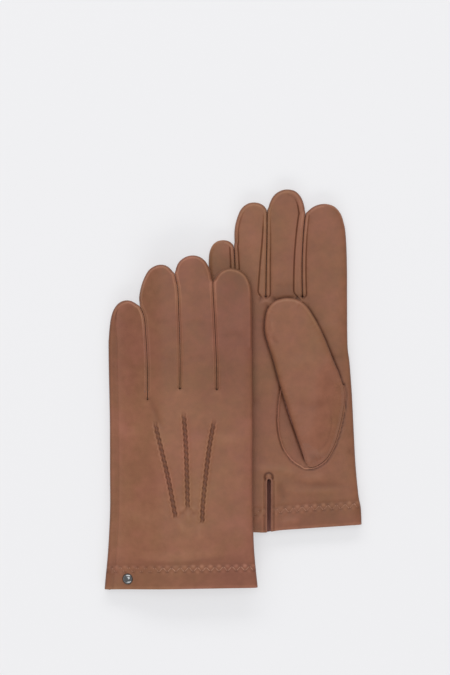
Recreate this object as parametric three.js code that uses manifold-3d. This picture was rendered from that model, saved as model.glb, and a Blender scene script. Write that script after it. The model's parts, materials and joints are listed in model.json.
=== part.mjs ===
// A pair of gentlemen's lined leather gloves, lying as a pair is shown: the right glove palm up,
// the left glove back up, draped over its little-finger side. Millimetres, +Z up, fingertips to +Y.
import * as THREE from "three";
import Module from "manifold-3d";
import { mergeVertices } from "three/addons/utils/BufferGeometryUtils.js";

const wasm = await Module();
wasm.setup();

// ---------------------------------------------------------------- driving dimensions
const LEATHER = 0.8; // skin thickness
const LINING = 0.6; // knitted lining thickness
const LAYER_GAP = 0.15; // between the skin and its lining
const CAVITY = 5.2; // room left for the hand when the glove lies empty
const PLY = LEATHER + LAYER_GAP;
const WALL = PLY + LINING;
const GLOVE_THICK = 2 * WALL + CAVITY;
const CLEARANCE = 0.3; // between pieces that rest on each other
const THREAD_GAP = 0.05; // between a thread and the skin that it lies on
const BEYOND = 5; // how far a cutter runs past what it cuts

const SEAM_PLAY = 0.3; // each finger stops this far short of its neighbours and of the hand
const BACK_SLIT = { width: 0.9, length: 17 }; // the back is slit deeper between the fingers than the palm
const VENT = { x: -11.4, crown: 36.6, slot: 2.4, binding: 1.3, proud: 0.4 };
const HEM_STITCH = { height: 15.5, tooth: 4.4, reach: 1.6, thread: 0.5, thick: 0.3, margin: 3 };
const POINT = { width: 1.5, height: 0.6, sink: 0.5 };
const STUD = { x: -39.2, y: 7.7, radius: 4.2, dome: 1.9, post: 1.25, reach: WALL + 0.4, washer: 3.1 };

// The left glove's little-finger edge is on the table. Its thumb side lies on its own pressed thumb,
// which lies on the right glove.
const PRESSED_THUMB = 4;
const LEFT_RISE = GLOVE_THICK + PRESSED_THUMB + 2 * CLEARANCE;
const DRAPE = { start: -50.7, end: -9, steps: 8 }; // in the left glove's own x
const SHEET = { halfWidth: 70, from: -30, to: 270, low: -5, high: 50 }; // a block that holds either glove

// Each hand outline is a row of [x, y] on either side, from the cuff to the finger line.
// Each finger gives its edges' x at the base, half way and at the shoulder, then its tip.
const RIGHT = {
  name: "right",
  origin: [39, -103.9],
  palmUp: true,
  fingerLine: 175,
  ulnarSide: [[-57.7, -4.1], [-56.6, 12], [-54.8, 31], [-54.4, 52], [-55.1, 81], [-56, 120], [-56.6, 175]],
  radialSide: [[57.4, 3.7], [55.1, 25.5], [52.9, 48], [51.4, 81], [49.6, 106], [47.4, 135], [46.9, 175]],
  fingers: {
    little: { ulnar: [-56.6, -57, -56.6], radial: [-36.8, -37.1, -37.8], tip: [-47, 215.6] },
    ring: { ulnar: [-36.2, -36.8, -37.2], radial: [-14.1, -14.6, -14.2], tip: [-23.4, 243.8] },
    middle: { ulnar: [-13.4, -13.8, -12.8], radial: [13.6, 12.3, 14.8], tip: [2.1, 254] },
    index: { ulnar: [14.4, 13.3, 15.8], radial: [46.9, 46.6, 45.4], tip: [28.9, 243] },
  },
};
const LEFT = {
  name: "left",
  origin: [-38.8, -148.1],
  palmUp: false,
  fingerLine: 165.8,
  ulnarSide: [[-57.6, -0.4], [-56.1, 15.8], [-54.6, 35], [-53.3, 56], [-53.8, 88], [-53.9, 125], [-54.6, 165.8]],
  radialSide: [[57.6, 1.5], [56.4, 15.8], [54.6, 35], [53.8, 56], [53.8, 88], [53.8, 125], [53.8, 165.8]],
  fingers: {
    little: { ulnar: [-54.6, -54.4, -52.8], radial: [-24.1, -24.7, -26.4], tip: [-40.3, 214.1] },
    ring: { ulnar: [-23.5, -24.6, -30.2], radial: [-0.3, -1.6, -3.8], tip: [-16, 241.9] },
    middle: { ulnar: [0.3, -0.6, -2.8], radial: [26.4, 25.3, 23.2], tip: [9.4, 248.3] },
    index: { ulnar: [27.1, 25.9, 25.2], radial: [53.8, 53.8, 53.2], tip: [37.9, 238.9] },
  },
};

// A fingertip is a superellipse, this many of its half-widths long.
const TIP = { power: 2.3, steps: 12, length: 1.15 };

// The thumb's own outline, shared by both gloves, set on the hand by its base oval.
const THUMB = {
  tip: [[-15.3, 150], [-14.6, 160], [-8.8, 170], [1, 173], [11, 170.6], [18.5, 162.5]],
  outerEdge: [[30, 141], [38, 123], [44.6, 106], [45.2, 90], [41, 70], [34, 56], [25, 48.5]],
  innerEdge: [[16.5, 48.5], [6.2, 78], [-3, 108]],
};
const THUMB_OFFSET = { right: [0, 0], left: [7.3, -2] };
const THUMB_MOUTH = { centre: [20, 82], radii: [19, 31], lean: -8 };
const THUMB_HINGE = [39.4, 60];
const THUMB_STEPS = 32;

// The three lines of raised stitching on the back, as [x, y] from the fingers towards the wrist.
const POINTS = {
  ring: [[-24.4, 137], [-18.2, 121.5], [-8.9, 84], [-3.7, 54]],
  middle: [[2.4, 133], [4.4, 103], [5.4, 61]],
  index: [[26.2, 130], [21.2, 103], [17.2, 68], [16.6, 51]],
};

const COLOURS = { leather: 0x8a5d47, lining: 0x6b4a3a, thread: 0x6f4632, metal: 0x9a9a9c };
const MATERIALS = {
  leather: () => new THREE.MeshStandardMaterial({ color: COLOURS.leather, roughness: 0.55, metalness: 0 }),
  lining: () => new THREE.MeshStandardMaterial({ color: COLOURS.lining, roughness: 0.95, metalness: 0 }),
  thread: () => new THREE.MeshStandardMaterial({ color: COLOURS.thread, roughness: 0.8, metalness: 0 }),
  metal: () => new THREE.MeshStandardMaterial({ color: COLOURS.metal, roughness: 0.25, metalness: 1 }),
};

// ---------------------------------------------------------------- solids and plan shapes
const asSolid = (geometry) => {
  geometry.deleteAttribute("normal");
  geometry.deleteAttribute("uv");
  const merged = mergeVertices(geometry, 1e-4);
  return new wasm.Manifold(
    new wasm.Mesh({
      numProp: 3,
      vertProperties: merged.attributes.position.array,
      triVerts: new Uint32Array(merged.index.array),
    }),
  );
};

const asGeometry = (solid) => {
  const { vertProperties, triVerts } = solid.getMesh();
  return new THREE.BufferGeometry()
    .setAttribute("position", new THREE.BufferAttribute(vertProperties, 3))
    .setIndex(new THREE.BufferAttribute(triVerts, 1));
};

const vectors = (pairs) => pairs.map(([x, y]) => new THREE.Vector2(x, y));

const smooth = (pairs, steps) => new THREE.SplineCurve(vectors(pairs)).getPoints(steps);

// An open line moved sideways by distance, to its right as it is walked.
const inset = (line, distance) =>
  line.map((point, i) => {
    const before = line[Math.max(i - 1, 0)];
    const after = line[Math.min(i + 1, line.length - 1)];
    const along = after.clone().sub(before).normalize();
    return new THREE.Vector2(point.x + along.y * distance, point.y - along.x * distance);
  });

const stretchEnds = (line, extra) => {
  const end = line.length - 1;
  const first = line[0].clone().addScaledVector(line[0].clone().sub(line[1]).normalize(), extra);
  const last = line[end].clone().addScaledVector(line[end].clone().sub(line[end - 1]).normalize(), extra);
  return [first, ...line, last];
};

const strip = (line, thickness) => [...line, ...inset(line, thickness).reverse()];

const ellipse = ({ centre, radii, lean }, grow = 0, steps = 20) =>
  new THREE.EllipseCurve(...centre, radii[0] + grow, radii[1] + grow, 0, 2 * Math.PI, false,
    THREE.MathUtils.degToRad(lean)).getPoints(steps).slice(0, steps);

const prism = (outline, low, high) => {
  const geometry = new THREE.ExtrudeGeometry(new THREE.Shape(outline), { depth: high - low, bevelEnabled: false });
  return asSolid(geometry.translate(0, 0, low));
};

// ---------------------------------------------------------------- how a layer lies
const smoothstep = (t) => t * t * (3 - 2 * t);

// Height of the left glove's underside: on the table at its little-finger edge, raised at its thumb edge.
const leftUnderside = (x) =>
  LEFT_RISE * smoothstep(THREE.MathUtils.clamp((x - DRAPE.start) / (DRAPE.end - DRAPE.start), 0, 1));

const BREAKS = [
  -SHEET.halfWidth,
  ...Array.from({ length: DRAPE.steps + 1 }, (_, i) => DRAPE.start + ((DRAPE.end - DRAPE.start) * i) / DRAPE.steps),
  SHEET.halfWidth,
];

// A sheet that follows two height curves over x and runs along the whole glove.
const sheetBetween = (lower, upper) => {
  const section = [
    ...BREAKS.map((x) => new THREE.Vector2(x, lower(x))),
    ...[...BREAKS].reverse().map((x) => new THREE.Vector2(x, upper(x))),
  ];
  const depth = SHEET.to - SHEET.from;
  const geometry = new THREE.ExtrudeGeometry(new THREE.Shape(section), { depth, bevelEnabled: false });
  return asSolid(geometry.rotateX(Math.PI / 2).translate(0, SHEET.to, 0));
};

// Depth is counted from the outside of the glove's back: 0 is the back, GLOVE_THICK the palm.
const layer = (glove, outline, from, to) => {
  if (glove.palmUp) return prism(outline, from, to);
  const sheet = sheetBetween(
    (x) => leftUnderside(x) + GLOVE_THICK - to,
    (x) => leftUnderside(x) + GLOVE_THICK - from,
  );
  return prism(outline, SHEET.low, SHEET.high).intersect(sheet);
};

// ---------------------------------------------------------------- outlines
const handSides = (glove) => ({
  ulnar: smooth(glove.ulnarSide, 12),
  radial: smooth(glove.radialSide, 12).reverse(),
});

const handOutline = (glove, depth, extra = 0) => {
  const { ulnar, radial } = handSides(glove);
  const lines = [inset(ulnar, depth), inset(radial, depth)];
  return lines.flatMap((line) => (extra ? stretchEnds(line, extra) : line));
};

// A finger's edge line, from the base of its little-finger side, round the tip, to its thumb side.
const fingerLine = (glove, { ulnar, radial, tip }) => {
  const base = glove.fingerLine + SEAM_PLAY;
  const radius = (radial[2] - ulnar[2]) / 2;
  const shoulder = tip[1] - TIP.length * radius;
  const middle = (base + shoulder) / 2;
  const centre = (radial[2] + ulnar[2]) / 2;
  const up = smooth([[ulnar[0], base], [ulnar[1], middle], [ulnar[2], shoulder]], 4);
  const down = smooth([[radial[2], shoulder], [radial[1], middle], [radial[0], base]], 4);
  const round = [];
  for (let i = 1; i < TIP.steps; i++) {
    const turn = Math.PI * (1 - i / TIP.steps);
    const across = Math.sign(Math.cos(turn)) * Math.abs(Math.cos(turn)) ** (2 / TIP.power);
    const rise = Math.sin(turn) ** (2 / TIP.power);
    const lean = (tip[0] - centre) * rise * (1 - across * across);
    round.push(new THREE.Vector2(centre + radius * across + lean, shoulder + (tip[1] - shoulder) * rise));
  }
  return inset([...up, ...round, ...down], SEAM_PLAY / 2);
};

const openAtBase = (line) => {
  const first = line[0].clone().setY(line[0].y - BEYOND);
  const last = line[line.length - 1].clone().setY(line[line.length - 1].y - BEYOND);
  return [first, ...line, last];
};

// ---------------------------------------------------------------- building the scene graph
const pair = new THREE.Group();

const addPiece = (parent, name, slot, solid, pivot = [0, 0, 0]) => {
  const geometry = asGeometry(solid).translate(-pivot[0], -pivot[1], -pivot[2]);
  const mesh = new THREE.Mesh(geometry, MATERIALS[slot]());
  mesh.name = name;
  parent.add(mesh);
};

const addPivot = (parent, name, position) => {
  const pivot = new THREE.Group();
  pivot.name = name;
  pivot.position.set(...position);
  parent.add(pivot);
  return pivot;
};

const box = (x0, x1, y0, y1) => vectors([[x0, y0], [x1, y0], [x1, y1], [x0, y1]]);

const thumbMouth = (glove, grow) => {
  const [dx, dy] = THUMB_OFFSET[glove.name];
  const { centre, radii, lean } = THUMB_MOUTH;
  return ellipse({ centre: [centre[0] + dx, centre[1] + dy], radii, lean }, grow);
};

// The slit in the wrist, open at the cuff, with a round top.
const ventOutline = (half) => [
  new THREE.Vector2(VENT.x + half, SHEET.from),
  ...new THREE.EllipseCurve(VENT.x, VENT.crown, half, half, 0, Math.PI).getPoints(6),
  new THREE.Vector2(VENT.x - half, SHEET.from),
];

function addHand(glove, group) {
  const { name } = glove;
  const deep = GLOVE_THICK - PLY;
  const everywhere = [-BEYOND, GLOVE_THICK + BEYOND];

  // The back carries the skin round both edges of the hand, and is slit between the fingers.
  let back = layer(glove, handOutline(glove, 0), 0, deep)
    .subtract(layer(glove, handOutline(glove, LEATHER, BEYOND), LEATHER, GLOVE_THICK + BEYOND));
  for (const finger of ["little", "ring", "middle"]) {
    const x = glove.fingers[finger].radial[0] + SEAM_PLAY;
    const slit = box(x - BACK_SLIT.width / 2, x + BACK_SLIT.width / 2,
      glove.fingerLine - BACK_SLIT.length, glove.fingerLine + BEYOND);
    back = back.subtract(layer(glove, slit, -BEYOND, LEATHER + LAYER_GAP / 2));
  }

  const thumbHole = layer(glove, thumbMouth(glove, 0), WALL + CAVITY / 2, everywhere[1]);
  const bindingHalf = VENT.slot / 2 + VENT.binding;
  const ventHole = layer(glove, ventOutline(bindingHalf + CLEARANCE), WALL + CAVITY / 2, everywhere[1]);
  const palm = layer(glove, handOutline(glove, 0), GLOVE_THICK - LEATHER, GLOVE_THICK)
    .subtract(thumbHole)
    .subtract(ventHole);
  let lining = layer(glove, handOutline(glove, PLY), PLY, GLOVE_THICK - PLY)
    .subtract(layer(glove, handOutline(glove, WALL, BEYOND), WALL, WALL + CAVITY))
    .subtract(thumbHole)
    .subtract(ventHole);

  const cuff = layer(glove, handOutline(glove, 0), ...everywhere);
  const binding = layer(glove, ventOutline(bindingHalf), GLOVE_THICK - WALL, GLOVE_THICK + VENT.proud)
    .subtract(layer(glove, ventOutline(VENT.slot / 2), ...everywhere))
    .intersect(cuff);

  if (glove.palmUp) {
    for (const line of Object.values(POINTS))
      back = back.subtract(prism(pointOutline(line, 2 * CLEARANCE), -BEYOND, POINT.sink));
  } else {
    const post = ellipse({ centre: [STUD.x, STUD.y], radii: [STUD.post, STUD.post], lean: 0 }, CLEARANCE, 16);
    const washer = ellipse({ centre: [STUD.x, STUD.y], radii: [STUD.washer, STUD.washer], lean: 0 }, CLEARANCE, 16);
    back = back.subtract(prism(post, SHEET.low, SHEET.high));
    lining = lining.subtract(layer(glove, washer, -BEYOND, WALL + CAVITY / 2));
  }

  addPiece(group, name + "_hand_back", "leather", back);
  addPiece(group, name + "_hand_palm", "leather", palm);
  addPiece(group, name + "_hand_lining", "lining", lining);
  addPiece(group, name + "_vent_binding", "leather", binding);
}

// A point's ridge in plan: broad in the middle and drawn to a tip at both ends.
function pointOutline(line, extra = 0) {
  const centre = stretchEnds(smooth(line, 10), extra);
  const half = (i) => (POINT.width / 2) * Math.sin(Math.PI * (0.12 + (0.76 * i) / (centre.length - 1))) + extra / 2;
  const side = (sign) => centre.map((_, i) => inset(centre, sign * half(i))[i]);
  return [...side(-1), ...side(1).reverse()];
}

function addStitching(glove, group) {
  const inSkin = glove.palmUp ? [THREAD_GAP, POINT.sink - THREAD_GAP] : [-POINT.height, -THREAD_GAP];
  for (const [finger, line] of Object.entries(POINTS)) {
    const ridge = layer(glove, pointOutline(line).reverse(), ...inSkin);
    addPiece(group, glove.name + "_point_" + finger, "thread", ridge);
  }

  // One zigzag of thread across the hem, on the side of the glove that lies uppermost.
  const { height, tooth, reach, thread, thick, margin } = HEM_STITCH;
  const start = margin + (glove.palmUp ? VENT.x + VENT.slot / 2 + VENT.binding : glove.ulnarSide[1][0]);
  const teeth = Math.floor((glove.radialSide[1][0] - margin - start) / tooth);
  const tilt = (glove.radialSide[0][1] - glove.ulnarSide[0][1]) / (glove.radialSide[0][0] - glove.ulnarSide[0][0]);
  const zigzag = Array.from({ length: 2 * teeth + 1 }, (_, i) => {
    const x = start + (i * tooth) / 2;
    return new THREE.Vector2(x, height + tilt * x + (i % 2 ? reach / 2 : -reach / 2));
  });
  const lower = zigzag.map(({ x, y }) => new THREE.Vector2(x, y - thread / 2));
  const upper = zigzag.map(({ x, y }) => new THREE.Vector2(x, y + thread / 2)).reverse();
  const top = glove.palmUp ? GLOVE_THICK + THREAD_GAP : -THREAD_GAP - thick;
  addPiece(group, glove.name + "_hem_stitching", "thread", layer(glove, [...lower, ...upper], top, top + thick));
}

function addFinger(glove, group, finger) {
  const edge = fingerLine(glove, glove.fingers[finger]);
  const apex = Math.floor(edge.length / 2);
  const walls = {
    ulnar: strip(edge.slice(0, apex), LEATHER),
    radial: strip(edge.slice(apex + 1), LEATHER),
  };
  const inside = [PLY, GLOVE_THICK - PLY];

  // A finger lifts about a line across its base, along the top of its higher edge.
  const ends = [edge[0].x, edge[edge.length - 1].x];
  const top = glove.palmUp ? GLOVE_THICK : leftUnderside(ends[1]) + GLOVE_THICK;
  const axis = [(ends[0] + ends[1]) / 2, glove.fingerLine, top];
  const pivot = addPivot(group, glove.name + "_" + finger + "_pivot", axis);
  const add = (suffix, slot, solid) => addPiece(pivot, glove.name + "_" + finger + suffix, slot, solid, axis);

  // The index and little fingers carry the skin round their outer edge; a fourchette closes each other side.
  const folded = { index: "radial", little: "ulnar" }[finger];
  let back = layer(glove, edge, 0, LEATHER);
  if (folded) back = back.add(layer(glove, walls[folded], 0, inside[1]));
  add("_back", "leather", back);
  add("_palm", "leather", layer(glove, edge, GLOVE_THICK - LEATHER, GLOVE_THICK));
  for (const side of ["ulnar", "radial"])
    if (side !== folded) add("_fourchette_" + side, "leather", layer(glove, walls[side], ...inside));

  const lining = layer(glove, inset(edge, PLY), ...inside)
    .subtract(layer(glove, openAtBase(inset(edge, WALL)), WALL, WALL + CAVITY));
  add("_lining", "lining", lining);
}

function addThumb(glove, group) {
  const [dx, dy] = THUMB_OFFSET[glove.name];
  const place = (line) => line.map(([x, y]) => [x + dx, y + dy]);
  const loop = place([...THUMB.innerEdge, ...THUMB.tip, ...THUMB.outerEdge]);
  const curve = new THREE.CatmullRomCurve3(loop.map(([x, y]) => new THREE.Vector3(x, y, 0)), true);
  const ring = curve.getPoints(THUMB_STEPS).slice(1).map(({ x, y }) => new THREE.Vector2(x, y));
  const shrink = (distance) => inset([ring[ring.length - 1], ...ring, ring[0]], distance).slice(1, -1);

  // The right thumb lies on its palm. The left thumb is pressed between its palm and the right glove.
  const low = GLOVE_THICK + CLEARANCE;
  const high = glove.palmUp ? low + GLOVE_THICK : LEFT_RISE - CLEARANCE;
  const bag = (distance) => prism(shrink(distance), low + distance, high - distance);
  const mouth = (grow) =>
    glove.palmUp
      ? prism(thumbMouth(glove, grow), 0, low + WALL + LAYER_GAP)
      : prism(thumbMouth(glove, grow), high - WALL - LAYER_GAP, high + BEYOND);

  const [px, py] = THUMB_HINGE;
  const hinge = [px + dx, py + dy, glove.palmUp ? GLOVE_THICK : LEFT_RISE];
  const pivot = addPivot(group, glove.name + "_thumb_pivot", hinge);
  const skin = bag(0).subtract(bag(LEATHER)).subtract(mouth(0));
  const lining = bag(PLY).subtract(bag(WALL)).subtract(mouth(-PLY));
  addPiece(pivot, glove.name + "_thumb", "leather", skin, hinge);
  addPiece(pivot, glove.name + "_thumb_lining", "lining", lining, hinge);
}

// A decorative press stud at the left cuff: a domed cap with its post, and a washer inside.
function addStud(group) {
  const { radius, dome, post, reach, washer } = STUD;
  const lean = Math.atan((leftUnderside(STUD.x + 1) - leftUnderside(STUD.x - 1)) / 2);
  const seat = addPivot(group, "stud_seat", [STUD.x, STUD.y, leftUnderside(STUD.x) + GLOVE_THICK]);
  seat.rotation.y = -lean;
  const capProfile = vectors([
    [0, -reach], [post, -reach], [post, 0.25], [radius, 0.25], [radius, 0.7],
    [0.86 * radius, 1.05], [0.78 * radius, 0.95], [0.6 * radius, 1.5], [0.32 * radius, 0.95 * dome], [0, dome],
  ]);
  const washerProfile = vectors([
    [post + 0.12, -reach + 0.1], [washer, -reach + 0.1], [washer, -PLY - 0.12], [post + 0.12, -PLY - 0.12],
    [post + 0.12, -reach + 0.1],
  ]);
  const turned = (profile) => asSolid(new THREE.LatheGeometry(profile, 20).rotateX(Math.PI / 2));
  addPiece(seat, "left_stud_cap", "metal", turned(capProfile));
  addPiece(seat, "left_stud_washer", "metal", turned(washerProfile));
}

function addGlove(glove) {
  const group = addPivot(pair, glove.name + "_glove", [...glove.origin, 0]);
  addHand(glove, group);
  for (const finger of Object.keys(glove.fingers)) addFinger(glove, group, finger);
  addThumb(glove, group);
  addStitching(glove, group);
  if (!glove.palmUp) addStud(group);
}

addGlove(RIGHT);
addGlove(LEFT);

// The origin is the middle of the pair, on the surface that it lies on.
const extent = new THREE.Box3().setFromObject(pair, true);
const middle = extent.getCenter(new THREE.Vector3());
pair.position.set(-middle.x, -middle.y, 0);

const gloves = new THREE.Group();
gloves.add(pair);

export default gloves;
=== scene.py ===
import json
import math

import bpy
import numpy as np
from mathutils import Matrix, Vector, kdtree, noise
from mathutils.geometry import delaunay_2d_cdt


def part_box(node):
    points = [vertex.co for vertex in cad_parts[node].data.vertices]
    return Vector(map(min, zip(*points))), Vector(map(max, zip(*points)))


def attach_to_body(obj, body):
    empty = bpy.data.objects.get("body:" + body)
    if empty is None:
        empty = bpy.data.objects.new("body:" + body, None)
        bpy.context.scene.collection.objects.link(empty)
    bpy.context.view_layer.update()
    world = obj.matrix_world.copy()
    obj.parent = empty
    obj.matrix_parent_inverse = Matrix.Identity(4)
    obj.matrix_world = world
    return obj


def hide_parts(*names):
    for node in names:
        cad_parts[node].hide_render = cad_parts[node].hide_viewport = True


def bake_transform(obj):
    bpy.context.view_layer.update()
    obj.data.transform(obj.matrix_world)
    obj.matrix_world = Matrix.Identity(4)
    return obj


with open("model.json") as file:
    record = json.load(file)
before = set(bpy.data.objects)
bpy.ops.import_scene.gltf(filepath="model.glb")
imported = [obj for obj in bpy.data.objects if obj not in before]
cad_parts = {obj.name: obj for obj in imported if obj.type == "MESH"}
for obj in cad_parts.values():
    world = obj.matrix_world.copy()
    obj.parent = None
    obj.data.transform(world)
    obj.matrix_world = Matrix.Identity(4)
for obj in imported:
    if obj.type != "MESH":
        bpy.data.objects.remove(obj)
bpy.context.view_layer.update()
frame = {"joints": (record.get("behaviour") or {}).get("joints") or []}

# A pair of lined nappa gloves around the imported frame: the right glove palm up, the left glove back up and
# draped over it. Each glove is drawn in its own plan, in millimetres: x across the hand from the little
# finger to the thumb, y from the cuff to the fingertips, and depth from the outside of the back to the
# outside of the palm. A point attribute, tone, makes the leather darker below 0.5 and lighter above it. Most
# of
# it is painted light: painted shade in seams, grooves, pits and sunken folds, painted highlights on beads,
# lips and raised folds, and painted light that lifts shadows. The rest is broad lighter and darker parts.

MM = 0.001

# ---------------------------------------------------------------- sizes, in millimetres
GLOVE_THICK = 8.3
LEATHER = 0.8
LINING_FROM = 1.15  # depth of the lining's two faces under the skin's outside
LINING_TO = 1.6
LINED_FROM = 2 * LINING_TO  # the thumb is lined where it is at least this thick
EDGE_ROUND = 6.0  # how far in from an edge the glove reaches its full thickness
FACING_ROUND = {"right": 0.85, "left": 0.5}  # the same, along an edge against the next finger
EDGE_POWER = 2.6  # 2 makes a circular edge, and more makes a squarer one
PRESSED_RELIEF = 0.3  # how much of its relief the left glove's palm keeps, pressed against its thumb
SLACK_ABOVE = 0.5  # over and under the left thumb, which slides between the two palms
SLACK_BELOW = 0.15
THUMB_RAMP = 22.0  # how far from its sewn edge the thumb rises to its full height
THUMB_ROUND = 6.5
THUMB_SEAM = 1.3  # how far in from its free edge the thumb is seamed
THUMB_BEND = (2, 24)  # the distances from its hinge between which the thumb's root would bend; worked out, but no bend is made

# The spacing of mesh points: over the faces, along the outline, and in rows beside the outline and the seams.
GRID = 1.25
OUTLINE_STEP = 0.8
ROWS = [0.1, 0.32, 0.7, 1.2, 1.9, 2.8, 3.9, 5.2, 6.6]
SEAM_ROWS = [-1.0, -0.55, -0.25, 0.0, 0.25, 0.6, 1.1]
LINING_MESH = {"grid": 3.2, "rows": [0.5, 1.6, 3.4, 6.6]}
THUMB_LINING_MESH = {"grid": 3.0, "step": 2.4, "rows": [0.6, 2.0, 4.0]}
POINT_BAND = {"half": 3.15, "step": 0.45, "clear": 3.4}  # finer rows along the points, and how far they clear
HEM_BAND = {"half": 3.6, "step": 0.6, "clear": 3.9}  # the same along the hem
VENT_BAND = {"reach": 5.65, "step": 0.4}  # finer rows round the wrist slit
ROW_RATIO = 0.866  # of the distance between rows to the distance between their points

BLEND_START = 2.0  # how far past its base line a finger's bend would start; no bend is made

VENT = {"x": -11.8, "crown": 36.6, "half": 1.5, "binding": 1.5}
HEM_HEIGHT = 14.6  # the zigzag's middle, above the cuff's edge
HEM_PERIOD = 6.4
HEM_REACH = 1.8
ROPE = {"half": 1.05, "pitch": 4.3, "slant": 0.42, "sway": 0.32}  # the whipped tuck along each point
THUMB_HOLE = {"centre": (24.0, 82.0), "radii": (10.5, 22.0)}

POINT_LINES = {
    "ring": [(-19.4, 127), (-17.2, 117), (-9.2, 84), (-3.2, 53)],
    "middle": [(2.4, 134), (4.4, 103), (5.6, 60)],
    "index": [(25.6, 128), (21.2, 103), (17.2, 68), (16.2, 49)],
}

STUD = (-39.2, 7.7)
STUD_PARTS = {  # radius, and height over the skin
    "cap": [(0, -1.2), (4.0, -1.2), (4.15, -0.2), (4.1, 0.1), (3.9, 0.3), (3.75, 0.55), (3.45, 1.0),
            (2.9, 1.42), (2.3, 1.76), (1.7, 1.98), (1.0, 2.07), (0, 2.1)],
    "washer": [(0, -2.6), (2.9, -2.6), (3.1, -2.45), (3.1, -2.1), (2.9, -1.95), (0, -1.95)],
}

# Its reach above and below the palm's face, half its thickness, and its rows of points on each side.
GUSSET = {"reach": 1.0, "half": 0.35, "rows": 14}

# Each finger's outline runs from its crotch on the little-finger side, round the tip, to its crotch on the
# thumb side. "back" and "palm" give how far in from its edge each finger's seam lies: at the tip and at the
# base, on the little-finger side and then on the thumb side. 0 is an edge without a seam.
RIGHT = {
    "name": "right",
    "palm_up": True,
    "finger_line": 175.0,
    "crotch_depth": 2.5,
    "cuff_sag": 1.0,  # how far the cuff's edge hangs beside the vent
    "ulnar": [(-57.7, -4.1), (-56.6, 12), (-54.8, 31), (-54.4, 52), (-55.1, 81), (-56, 120), (-56.6, 174)],
    "radial": [(46.6, 172), (46.9, 138), (48.4, 124.5), (50.2, 100), (51.6, 72), (52.9, 48), (55, 26),
               (56.8, 16), (57.4, 3.7)],
    "fingers": {
        "little": [(-56.9, 190), (-56.6, 204), (-54.5, 211), (-51, 214.6), (-46.5, 215.8), (-42.4, 215.3),
                   (-39.6, 213.4), (-38.4, 209.5), (-37.7, 200), (-37, 186), (-36.9, 173)],
        "ring": [(-36.2, 173), (-36.4, 186), (-36.9, 200), (-37.4, 212), (-37.6, 222), (-36.3, 230),
                 (-33, 238.4), (-28.6, 242.6), (-23.5, 244), (-18, 243), (-14.3, 239.6), (-13.6, 232),
                 (-13.7, 215), (-14.2, 195), (-14.5, 173)],
        "middle": [(-13.8, 173), (-13.5, 195), (-13, 215), (-12.9, 232), (-12, 241), (-8.6, 248.6),
                   (-3.2, 252.7), (2.5, 253.7), (8.2, 252.2), (12.3, 247.6), (14.6, 241), (14.9, 234.5),
                   (13.6, 222), (12.7, 205), (12.5, 190), (12.8, 173)],
        "index": [(13.5, 173), (13.2, 190), (13.4, 205), (14.4, 222), (15.9, 234.6), (19.4, 239.4),
                  (25, 242.3), (31, 242.8), (37, 240.8), (41.6, 235.6), (44, 228.6), (45.4, 221), (46.2, 208),
                  (46.6, 190)],
    },
    "palm": {"little": ((0, 0), (3.0, 3.4)), "ring": ((2.6, 3.2), (1.7, 6.2)),
             "middle": ((1.9, 3.4), (4.4, 6.6)), "index": ((2.6, 3.0), (0, 0))},
    "back": {"little": ((1.3, 1.3), (1.3, 1.5)), "ring": ((1.3, 1.5), (1.3, 1.5)),
             "middle": ((1.3, 1.5), (1.3, 1.5)), "index": ((1.3, 1.5), (1.3, 1.3))},
}
LEFT = {
    "name": "left",
    "palm_up": False,
    "finger_line": 165.8,
    "crotch_depth": 18.5,
    "cuff_sag": 0.0,
    "ulnar": [(-56.7, -0.4), (-55.8, 10), (-54.8, 20), (-53.7, 35), (-52.6, 60), (-52.7, 88), (-52.8, 125),
              (-53.6, 165)],
    "radial": [(53.9, 160), (53.9, 125), (53.8, 88), (53.9, 60), (54.6, 35), (55.7, 20), (57.6, 1.5)],
    "fingers": {
        "little": [(-53.8, 184), (-52.6, 198), (-50.6, 206.6), (-47.2, 212), (-43.2, 214.6), (-38.4, 215),
                   (-33.6, 213), (-29.4, 208.6), (-27, 202), (-26, 190), (-25.2, 176), (-24.7, 160),
                   (-24.6, 141)],
        "ring": [(-24.2, 141), (-24.1, 160), (-24.5, 176), (-25.4, 190), (-26.6, 202), (-29.4, 210),
                 (-30.8, 216), (-29.7, 223.8), (-27.3, 231), (-24, 236.9), (-20, 240.1), (-15.4, 241.5),
                 (-10.6, 240.8), (-6.4, 237.4), (-3.8, 232), (-2, 222), (-1.4, 206), (-0.6, 187), (-0.3, 170),
                 (-0.4, 149)],
        "middle": [(0, 149), (0.2, 170), (-0.1, 187), (-0.8, 206), (-1.5, 222), (-3.3, 232), (-3.4, 238),
                   (-0.9, 243.6), (4, 247.3), (9.6, 248.4), (15, 247), (19.4, 243), (22.3, 236.4),
                   (23.6, 229), (24.4, 215), (25.4, 196), (26.6, 168), (26.9, 148.5)],
        "index": [(27.4, 148.5), (27.2, 168), (26, 196), (25, 215), (24.6, 226), (26.2, 232), (30.4, 236.8),
                  (36.4, 239), (42.6, 238.2), (48.2, 234.6), (51.8, 228.4), (53.4, 219), (53.9, 200),
                  (53.9, 180)],
    },
    "palm": {"little": ((0, 0), (2.6, 3.4)), "ring": ((2.6, 3.4), (2.6, 3.4)),
             "middle": ((2.6, 3.4), (2.6, 3.4)), "index": ((2.6, 3.0), (0, 0))},
    "back": {"little": ((1.5, 6.4), (1.2, 1.3)), "ring": ((1.3, 1.3), (1.2, 1.3)),
             "middle": ((1.2, 1.3), (1.2, 1.3)), "index": ((1.2, 1.3), (1.4, 1.4))},
}
FINGERS = ["little", "ring", "middle", "index"]
FINGER_GAP = 0.008  # between neighbouring fingers where they lie side by side
GAP_CLOSED = 1.0  # where the outlines are this close or closer, they are moved together to FINGER_GAP
GAP_OPEN = 2.4  # and where they are this far apart, they are left as they are

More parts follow.
